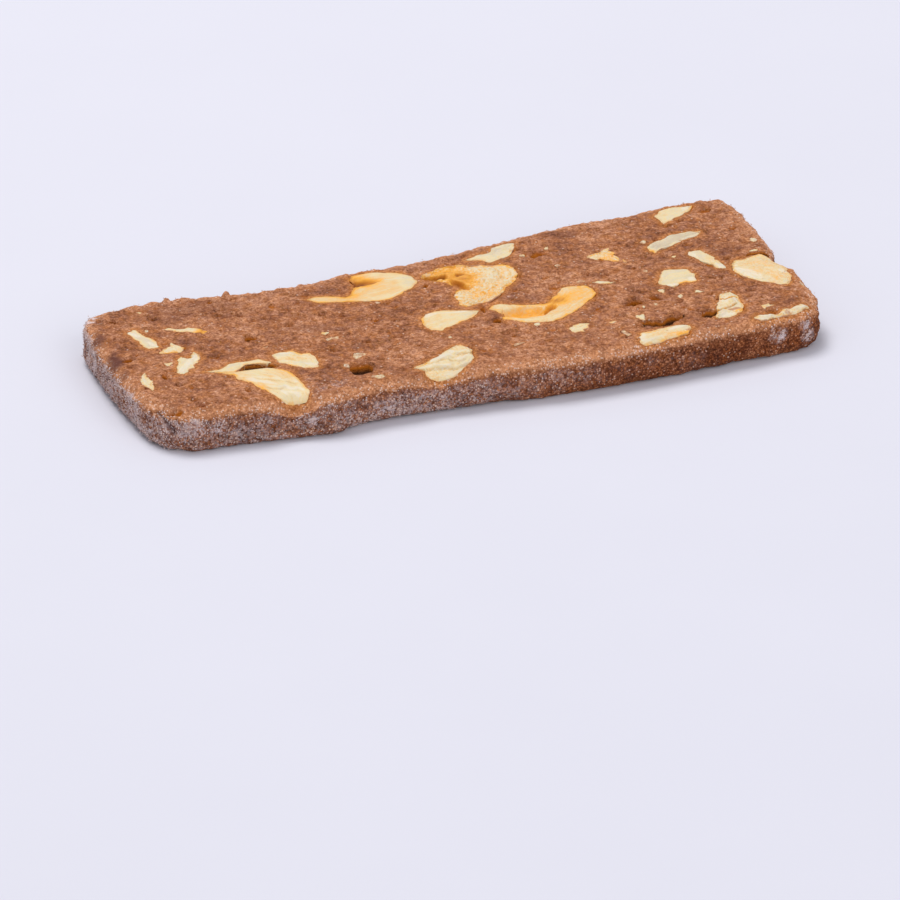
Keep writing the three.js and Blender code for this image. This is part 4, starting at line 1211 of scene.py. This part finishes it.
# The baked slice: its plain shape pushed along its outward ways by smooth relief, less a pocket for each
# nut, the holes and crevices, plus crumbs on its face. Its points hold the rim's painted highlight, the oil
# that seeped from the nuts, the depth of creases for their painted shade, stains and the grooves' painted
# shadow, flour, and how far they belong to the edge, which gets painted shade.
def makeDough():
    points, quads, triangles = sliceShape(sliceSide, sliceOutward)
    outward = outwardOf(points, quads, triangles)
    up = np.clip(outward[:, 2], 0, 1)
    down = np.clip(-outward[:, 2], 0, 1)
    edge = np.sqrt(1 - outward[:, 2] ** 2)
    onTop = (up > slab["level"]) & (points[:, 2] > slab["bevel"]["from"])
    onSole = down > slab["level"]
    thickness = slab["thickness"]
    rim, pocket, moat, pitLook = (slab[key] for key in ("rim", "pocket", "moat", "pit"))
    stainAndShadowLook, flourLook = slab["stainAndShadow"], slab["flour"]

    throughDepth = thickness / 2 - pocket["room"]
    pockets = [(nut, onTop, nut.get("depth", throughDepth)) for nut in topNuts]
    pockets += [(nut["lobe"], onTop, nut["depth"]) for nut in topNuts if "lobe" in nut]
    pockets += [(flake, onTop, pocket["flake"]) for flake in smallNuts]
    pockets += [(nut, onSole, throughDepth) for nut in topNuts if "depth" not in nut]
    pockets += [(nut, onSole, nut["depth"]) for nut in soleNuts]
    pockets = [(closedLine(*twoSides(nut, sliceRim)), face, depth) for nut, face, depth in pockets]
    openings = [(closedLine(*twoSides(hole, sliceRim)), onTop, hole) for hole in holes]
    xy = points[:, :2]
    for line, face, _ in pockets + openings:
        at = nearLine(xy, face & (edge < slab["snapTilt"]), line, slab["snap"])
        away = fromLine(xy[at], line)
        close = np.linalg.norm(away, axis=1) < slab["snap"]
        xy[at[close]] -= away[close]

    fromRim = np.full(len(points), rim["farthest"])  # on the top face, distance in from the rim
    at = np.flatnonzero(onTop)
    fromRim[at] = np.linalg.norm(fromLine(xy[at], coarseRim), axis=1)
    fromRim += mixedFields(points, rim["shake"])
    below = np.clip(mixedFields(points, rim["crestShake"], thickness - points[:, 2]), 0, None)
    crest = bell(below, edge > rim["crestTilt"], 0, rim["crestDown"])
    crest = np.maximum(crest, bell(np.clip(fromRim, 0, None), 1, 0, rim["crestIn"]))
    gritty = np.maximum(edge, rim["grit"] * (1 - ease(fromRim, *rim["gritReach"])))

    patches = mixedFields(points, slab["gritPatches"], slab["gritBase"])
    bumps = relief(points, slab["faceRelief"]) + patches * relief(points, slab["faceGrit"])
    grit = relief(points, slab["edgeRelief"])
    near = gritty > slab["leastGrit"]
    grit[near] += slab["pebbleHeight"] * (pebbles(points[near], slab["pebbleSize"]) - slab["pebbleMiddle"])
    calm = np.ones(len(points))  # 0 where a nut lies on the face
    sink, seep, crease, stainAndShadow = np.zeros((4, len(points)))

    gaps = softNoise(points, moat["size"])
    for line, face, depth in pockets:
        at = nearLine(xy, face, line, pocket["near"])
        apart = lineDistance(xy[at], line)
        calm[at] = np.minimum(calm[at], ease(apart, 0.0, pocket["calm"]))
        bottom = depth * (pocket["half"] + (1 - pocket["half"]) * ease(-apart, *pocket["floor"]))
        hollow = ease(-apart, *pocket["wall"]) * (bottom + pocket["room"])
        ditch = bell(apart, moat["depth"], moat["out"], moat["width"]) * ease(gaps[at], *moat["gaps"])
        sink[at] = np.maximum(sink[at], np.maximum(hollow, ditch))
        # the ditch is painted with shade by its crease
        crease[at] = np.maximum(crease[at], ditch / moat["depth"])
        seep[at] = np.maximum(seep[at], bell(np.clip(apart, 0, None), min(1, depth), 0, pocket["seep"]))

    black = crust["pitShadowRange"][1]  # the crease that the material paints black as shadow
    ragged = pitLook["shake"] * shakeOf(points, pitLook["shakeSize"], pitLook["apart"])
    for line, face, hole in openings:
        at = nearLine(xy, face, line, pitLook["near"])
        deep = hole["depth"] * ease(-lineDistance(xy[at], line), 0.0, pitLook["wall"])
        sink[at] = np.maximum(sink[at], deep)
        crease[at] = np.maximum(crease[at], black * deep / hole["dark"])
    dents = [{**ovalAt(*oval), "depth": depth, "dark": dark} for *oval, depth, dark in pits]
    for pit in dents + randomCrevices():
        at = nearLine(xy, onTop, np.array([pit["at"]]), pit["long"])
        deep = pitDepth(xy[at] + ragged[at], pit) * np.maximum(calm[at], pit["depth"] > pitLook["cutsNuts"])
        sink[at] = np.maximum(sink[at], deep)
        crease[at] = np.maximum(crease[at], black * deep / pit["dark"])

    at = np.flatnonzero(up > stainAndShadowLook["level"])
    wobble = mixedFields(points[at], stainAndShadowLook["shake"])
    for *oval, amount in darkPatches:
        soaked = 1 - ease(outness(xy[at], ovalAt(*oval)) + wobble, *stainAndShadowLook["fade"])
        stainAndShadow[at] = np.maximum(stainAndShadow[at], amount * soaked)
    for place, reach, height in slab["crumbs"]:
        sink[at] -= height * np.exp(-((np.linalg.norm(xy[at] - place, axis=1) / reach) ** 4))
    for start, end, width, depth in slab["grooves"]:
        way = np.subtract(end, start)
        share = np.clip((points - start) @ way / (way @ way), 0, 1)
        gap = spotAt(points - share[:, None] * way, start, width)
        grit -= depth * gap
        # the groove's shadow is painted dark along with the darker places
        stainAndShadow = np.maximum(stainAndShadow, stainAndShadowLook["grooveShadow"] * gap)

    flat = np.maximum(up, down)
    amount = flat * (bumps * calm - slab["underNut"] * (1 - calm)) + gritty * np.where(onTop, calm, 1) * grit
    amount -= down * slab["soleDip"]
    points = points + outward * amount[:, None]
    points[:, 2] += np.where(onSole, sink, -sink) - sagOf(points)
    points[:, 2] = np.maximum(points[:, 2], 0)

    ledge = up * (points[:, 2] < slab["bevel"]["from"]) > flourLook["ledge"]
    rough = np.where(ledge, 1, edge ** flourLook["edgePower"])
    spread = flourLook["base"] - flourLook["thin"] * ease(points[:, 0], *flourLook["thinAlong"])
    spread = mixedFields(points, flourLook["patches"], spread)
    spread += flourLook["endMore"] * ease(-points[:, 0], *flourLook["endAlong"])
    flour = np.maximum(rough * np.clip(spread, *flourLook["share"]), flourLook["crest"] * crest)
    flour = flour * (1 + flourLook["driftShare"] * mixedFields(points, flourLook["drifts"]))
    clumps = mixedFields(points, flourLook["clumps"], flourLook["clumpBase"])
    for place, reach, share in flourLook["spots"]:
        flour = np.maximum(flour, share * clumps * spotAt(points, place, reach))
    side = rough * (1 - rim["side"] * crest)
    values = {"rimHighlight": crest, "seep": seep, "crease": crease, "stainAndShadow": stainAndShadow, "flour": flour, "side": side}
    dough = makePiece("doughSlice", "dough", crustMaterial, points, quads, triangles, values)
    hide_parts("dough")
    print("dough:", len(points), "points")
    return points, outward, edge, flour


sliceSide, sliceOutward = sliceEdge()
sliceRim = sliceSide[0, :, :2], sliceOutward
coarseRim = sliceRim[0][::slab["rimStep"]]
doughPoints, doughOutward, doughEdge, doughFlour = makeDough()


nutFace = {
    "across": 0.18,  # spacing of points across
    "fewestCells": 5,
    "crown": 0.07,
    "crownReach": 1.6,
    "edgeDrop": 0.03,
    "edgeReach": 0.25,
    "fibre": 0.05,
    "fibreSize": (2.6, 0.4, 1.0),
    "pimple": 0.05,
    "pimpleSize": (0.8, 0.6, 1.0),
    "pimpleShift": 5,  # shifts keep the smooth fields apart
    "layer": 0.13,
    "layers": (((3.0, 1.6, 1.0), 1.9), ((0.9, 0.6, 1.0), 0.7)),  # sizes, how many steps
    "layerShift": 7,
    "layerEdge": (0.35, 0.65),
    # painted highlight and shade on the layers' steps, fibres and pimples
    "layerLight": (0.4, 0.7, 0.12),  # height, middle and reach of a bell, as in the others below
    "layerDark": (0.6, 0.36, 0.12),
    "layerToast": 0.05,
    "fibreShade": 0.4,
    "pimpleShade": (0.15, 0.25),  # on a smooth nut, and more on a flaky one
    "raggedSize": (1.1, 0.9, 1.0),
    "coatEdge": (0.45, 0.5),  # dough left along the outline, and how it varies
    "coatSize": 1.4,
    "coatShift": 9,
    "coatReach": 0.26,
    "warmEdge": 0.26,
    "warmReach": 0.55,
    "warmShares": (0.6, 0.7),  # even, ragged
    "bowl": {"shake": 0.12, "slope": (0.5, 1.05)},
    "calmToast": (0.38, 0.58),  # toasted places are smoother
    "calmShare": 0.65,
    "chalk": {"light": 1.1, "ragged": 0.4, "pimple": 0.25, "edge": (0.7, 1.0)},
    # a ledge gets a painted highlight on its edge and painted shade at its foot
    "ledge": {"shake": 0.3, "ramp": 1, "step": 0.12, "light": (0.8, 0.35, 0.3), "dark": (1.1, -0.16, 0.22),
              "pale": (0.06, 0.3, 0.3)},
    # painted shade in a crack, with its toast
    "crack": {"shake": 0.25, "toast": 0.9, "dark": 1.5},
    "foot": ((0.0, 0.12), (0.0, 0.5), (0.1, 0.7), (0.22, 0.85), (0.55, 1.0)),  # shrink, share of the depth
    "waist": ((0.0, 5.7), (-0.03, 3.0), (0.06, 1.2), (0.14, 0.25)),  # shrink, height
    "soleShrink": 0.16,
    "tipShrink": 0.15,  # how much of the shrink goes along the nut
    "soleLift": 0.09,  # the sole's cut faces lie this far in, so that none reaches through it
    "fieldStep": 13.7,  # every nut has its own part of the smooth fields
    "lobeStep": 5,
    "flakeFields": 400,
    "flakeDepth": 0.8,
}


# How far places lie along and left of the way from one point to another, and how long that way is.
def fromWay(xy, start, end):
    way = np.subtract(end, start)
    length = np.hypot(*way)
    apart = xy - np.asarray(start)
    return apart @ way / length, apart @ (-way[1], way[0]) / length, length


# A nut's cut face: its height over the slice's face, how toasted it is, how coated with dough, and its
# painted shade. A low crown with fibres and flaky layers, less its hollows, ledges and cracks; a painted
# highlight on what stands up, white where it is chalky, painted shade at the foot of a step and in cracks,
# and smoother where it is toasted. inner is the distance in from the outline.
def cutFace(nut, xy, along, aside, inner, shift):
    places = np.column_stack([along, aside, np.full(len(along), shift)])
    rough = nut["rough"]
    full = ease(inner, 0, nutFace["edgeReach"])
    fibres = softNoise(places, nutFace["fibreSize"])
    pimples = softNoise(places + nutFace["pimpleShift"], nutFace["pimpleSize"])
    layers = relief(places + nutFace["layerShift"], nutFace["layers"])
    step = layers - np.floor(layers)
    flaky = np.floor(layers) + ease(step, *nutFace["layerEdge"])
    height = nutFace["crown"] * ease(inner, 0, nutFace["crownReach"])
    height -= nutFace["edgeDrop"] * (1 - full)
    fine = nutFace["fibre"] * fibres + nutFace["pimple"] * pimples + rough * nutFace["layer"] * flaky
    height += fine * full
    smooth, more = nutFace["pimpleShade"]
    shade = nutFace["fibreShade"] * fibres + (smooth + more * rough) * pimples
    shade += rough * (bell(step, *nutFace["layerLight"]) - bell(step, *nutFace["layerDark"]))
    ragged = softNoise(places, nutFace["raggedSize"])
    coatMost, coatChange = nutFace["coatEdge"]
    border = 1 - ease(inner, 0, nutFace["coatReach"])
    smears = coatMost + coatChange * softNoise(places + nutFace["coatShift"], nutFace["coatSize"])
    coat = np.maximum(nut.get("coat", 0), border * smears)
    even, uneven = nutFace["warmShares"]
    warm = nutFace["warmEdge"] * (1 - ease(inner, 0, nutFace["warmReach"])) * (even + uneven * ragged)
    toast = nut["tone"] + warm - nutFace["layerToast"] * rough * np.clip(flaky, -1, 1)
    for x, y, reachX, reachY, amount in nut.get("toasted", ()):
        toast += amount * spotAt(xy, (x, y), (reachX, reachY))
    bowl = nutFace["bowl"]
    for x, y, halfLong, halfWide, turn, depth, brown in nut.get("hollows", ()):
        out = outness(xy, ovalAt(x, y, 2 * halfLong, 2 * halfWide, turn))
        scoop = 1 - ease(out + bowl["shake"] * ragged, *bowl["slope"])
        height -= depth * scoop
        toast += brown * scoop
    shade *= 1 - nutFace["calmShare"] * ease(toast, *nutFace["calmToast"])
    chalk = nutFace["chalk"]
    for x, y, halfLong, halfWide, turn in nut.get("chalk", ()):
        out = outness(xy, ovalAt(x, y, 2 * halfLong, 2 * halfWide, turn))
        out = out + chalk["ragged"] * ragged + chalk["pimple"] * pimples
        shade += chalk["light"] * (1 - ease(out, *chalk["edge"]))
    for x, y, reachX, reachY, amount in nut.get("coated", ()):
        coat = np.maximum(coat, amount * spotAt(xy, (x, y), (reachX, reachY)))
    ledge = nutFace["ledge"]
    for start, end, drop in nut.get("ledges", ()):
        ahead, left, length = fromWay(xy, start, end)
        left = left + ledge["shake"] * ragged
        whole = ease(ahead, 0, ledge["ramp"]) * (1 - ease(ahead, length - ledge["ramp"], length))
        height -= drop * whole * (1 - ease(left, -ledge["step"], ledge["step"]))
        shade += whole * (bell(left, *ledge["light"]) - bell(left, *ledge["dark"]))
        toast -= whole * bell(left, *ledge["pale"])
    crack = nutFace["crack"]
    for start, end, width, depth in nut.get("cracks", ()):
        ahead, left, length = fromWay(xy, start, end)
        gap = bell(left + crack["shake"] * ragged, 1, 0, width) * (ahead > 0) * (ahead < length)
        height -= depth * gap
        toast += crack["toast"] * gap
        shade -= crack["dark"] * gap
    return height, np.clip(toast, 0, 1), coat, shade


# A place between a nut's two sides, by shares along and across, pulled in from its outline by a shrink.
def between(left, right, along, across, shrink):
    steps = np.linspace(0, 1, len(left))
    along = 0.5 + (along - 0.5) * (1 - nutFace["tipShrink"] * shrink)
    across = (0.5 + (across - 0.5) * (1 - shrink))[:, None]
    leftAt, rightAt = (pointsAlong(side, steps, along) for side in (left, right))
    return leftAt + across * (rightAt - leftAt)


# A closed nut: its cut face between two tips and two sides, a wall of rings round it, and a foot, or a
# second face below. under turns it over, for the sole; thin is a flake's own depth.
def nutShell(nut, shift, under=False, thin=None):
    left, right = twoSides(nut, sliceRim)
    thickness = slab["thickness"]
    steps = len(left) - 1
    width = np.linalg.norm(left - right, axis=1).max()
    cells = max(nutFace["fewestCells"], int(width / nutFace["across"]))
    inside = np.linspace(0, 1, steps + 1)[1:-1]
    spread = 0.5 - 0.5 * np.sin(np.pi * (0.5 - np.linspace(0, 1, cells + 1)))
    spread = 0.5 * spread + 0.5 * np.linspace(0, 1, cells + 1)
    faceAlong = np.concatenate([[0, 1], np.repeat(inside, cells + 1)])
    faceAcross = np.concatenate([[0.5, 0.5], np.tile(spread, steps - 1)])
    ringAlong = np.concatenate([[0], inside, [1], inside[::-1]])
    ringAcross = np.concatenate([[0.5], np.ones(steps - 1), [0.5], np.zeros(steps - 1)])

    through = "depth" not in nut and thin is None
    rows = [(faceAlong, faceAcross, 0.0, thickness, 1)]
    if through:
        rows += [(ringAlong, ringAcross, shrink, level, 0) for shrink, level in nutFace["waist"]]
        rows += [(faceAlong, faceAcross, nutFace["soleShrink"], 0.0, -1)]
    else:
        depth = thin or nut["depth"]
        levels = [(shrink, thickness - depth * share) for shrink, share in nutFace["foot"]]
        rows += [(ringAlong, ringAcross, shrink, level, 0) for shrink, level in levels]
    line = closedLine(left, right)
    length = np.linalg.norm(np.diff((left + right) / 2, axis=0), axis=1).sum()
    parts = []
    for along, across, shrink, level, cut in rows:
        xy = between(left, right, along, across, shrink)
        fibre = np.column_stack([along * length, (across - 0.5) * width, np.full(len(along), shift)])
        inner = -lineDistance(xy, line)
        height, toast, coat, shade = cutFace(nut, xy, fibre[:, 0], fibre[:, 1], inner, shift)
        z = level + {1: height, 0: 0 * height, -1: nutFace["soleLift"] - height}[cut]
        parts.append((np.column_stack([xy, z]), toast, fibre, coat, shade))
    points, toast, fibre, coat, shade = (np.concatenate(part) for part in zip(*parts))
    if under:
        points[:, 2] = nutFace["soleLift"] + thickness - points[:, 2]
    points[:, 2] = np.maximum(points[:, 2] - sagOf(points), 0)

    starts = np.cumsum([0] + [len(part[1]) for part in parts])
    grid = 2 + np.arange((steps - 1) * (cells + 1)).reshape(steps - 1, cells + 1)
    border = np.concatenate([[0], grid[:, -1], [1], grid[::-1, 0]])
    rings = [border] + [start + np.arange(2 * steps) for start in starts[1:len(rows) - through]]
    faceQuads = gridQuads(grid)
    startFan = np.column_stack([np.zeros(cells, int), grid[0, 1:], grid[0, :-1]])
    endFan = np.column_stack([grid[-1, :-1], grid[-1, 1:], np.ones(cells, int)])
    faceFans = np.vstack([startFan, endFan])
    if through:
        rings.append(starts[-2] + border)
        closing = starts[-2] + faceQuads[:, ::-1], starts[-2] + faceFans[:, ::-1]
    else:
        foot = rings[-1]
        rightFoot, leftFoot = foot[1:steps], foot[:steps:-1]
        ladder = np.column_stack([leftFoot[:-1], leftFoot[1:], rightFoot[1:], rightFoot[:-1]])
        ends = [(foot[0], leftFoot[0], rightFoot[0]), (leftFoot[-1], foot[steps], rightFoot[-1])]
        closing = ladder, np.array(ends)
    loops = np.array(rings)
    walls = gridQuads(np.column_stack([loops, loops[:, 0]]))[:, ::-1]
    quads = np.vstack([faceQuads, walls, closing[0]])
    triangles = np.vstack([faceFans, closing[1]])
    if under:
        quads, triangles = quads[:, ::-1], triangles[:, ::-1]
    flaky = np.full(len(points), nut["rough"])
    values = {"toast": toast, "fibre": fibre, "coat": coat, "flaky": flaky, "shade": shade}
    return points, quads, triangles, values


# Several shells as one set of points and faces.
def joined(shells):
    starts = np.concatenate([[0], np.cumsum([len(shell[0]) for shell in shells])])
    points = np.vstack([shell[0] for shell in shells])
    quads = np.vstack([shell[1] + start for shell, start in zip(shells, starts)])
    triangles = np.vstack([shell[2] + start for shell, start in zip(shells, starts)])
    values = {key: np.concatenate([shell[3][key] for shell in shells]) for key in shells[0][3]}
    return points, quads, triangles, values


# A shell for each nut, with its second lobe where it has one; the flakes and bits are one piece.
def makeNuts():
    for k, nut in enumerate(topNuts + soleNuts):
        shift = nutFace["fieldStep"] * (k + 1)
        shells = [nutShell(nut, shift, under=k >= len(topNuts))]
        if "lobe" in nut:
            shells.append(nutShell(nut["lobe"], shift + nutFace["lobeStep"], thin=nut["depth"]))
        name = f"nutPiece{k + 1:02d}"
        piece = makePiece(name, "nut", kernelMaterial, *joined(shells))
        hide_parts(f"nut_{k + 1:02d}")
    shifts = [nutFace["flakeFields"] + nutFace["fieldStep"] * k for k in range(len(smallNuts))]
    shells = [nutShell(flake, shift, thin=nutFace["flakeDepth"]) for flake, shift in zip(smallNuts, shifts)]
    makePiece("nutFlakes", "nut", kernelMaterial, *joined(shells))
    print("nuts:", len(topNuts) + len(soleNuts), "pieces and", len(smallNuts), "flakes")


makeNuts()


grains = {
    "seed": 8,
    "count": 4500,
    "size": (0.035, 0.12),
    "lengths": (0.7, 1.3),
    "bury": 0.6,
    "slide": 0.1,
    "overFloor": 1.4,  # of its size
    "mostFlour": 1.5,
    "flourPower": 3,
    "edgeFrom": 0.3,
}


# Eight-sided grains, turned at random, sunk a little in the dough's edge where it is floured most.
def makeGrains():
    rng = np.random.default_rng(grains["seed"])
    floured = np.clip(doughFlour, 0, grains["mostFlour"]) ** grains["flourPower"]
    chance = floured * (doughEdge > grains["edgeFrom"])
    picks = rng.choice(len(doughPoints), grains["count"], p=chance / chance.sum())
    size = rng.uniform(*grains["size"], (len(picks), 1))
    slide = rng.normal(0, grains["slide"], (len(picks), 3))
    middle = doughPoints[picks] + slide + doughOutward[picks] * size * (1 - grains["bury"])
    middle[:, 2] = np.maximum(middle[:, 2], grains["overFloor"] * size[:, 0])
    corners = np.array([(1, 0, 0), (-1, 0, 0), (0, 1, 0), (0, -1, 0), (0, 0, 1), (0, 0, -1)], float)
    faces = np.array([(0, 2, 4), (2, 1, 4), (1, 3, 4), (3, 0, 4), (2, 0, 5), (1, 2, 5), (3, 1, 5), (0, 3, 5)])
    turns, _ = np.linalg.qr(rng.normal(size=(len(picks), 3, 3)))
    turns[np.linalg.det(turns) < 0, 0] *= -1
    lengths = rng.uniform(*grains["lengths"], (len(picks), 1, 3))
    shapes = (corners * lengths) @ turns * size[:, None] + middle[:, None]
    triangles = (faces + len(corners) * np.arange(len(picks))[:, None, None]).reshape(-1, 3)
    points, quads = shapes.reshape(-1, 3), np.empty((0, 4), int)
    piece = makePiece("sugarGrains", "dough", grainMaterial, points, quads, triangles, {})
    piece.data.shade_flat()
    print("grains:", len(picks))


makeGrains()
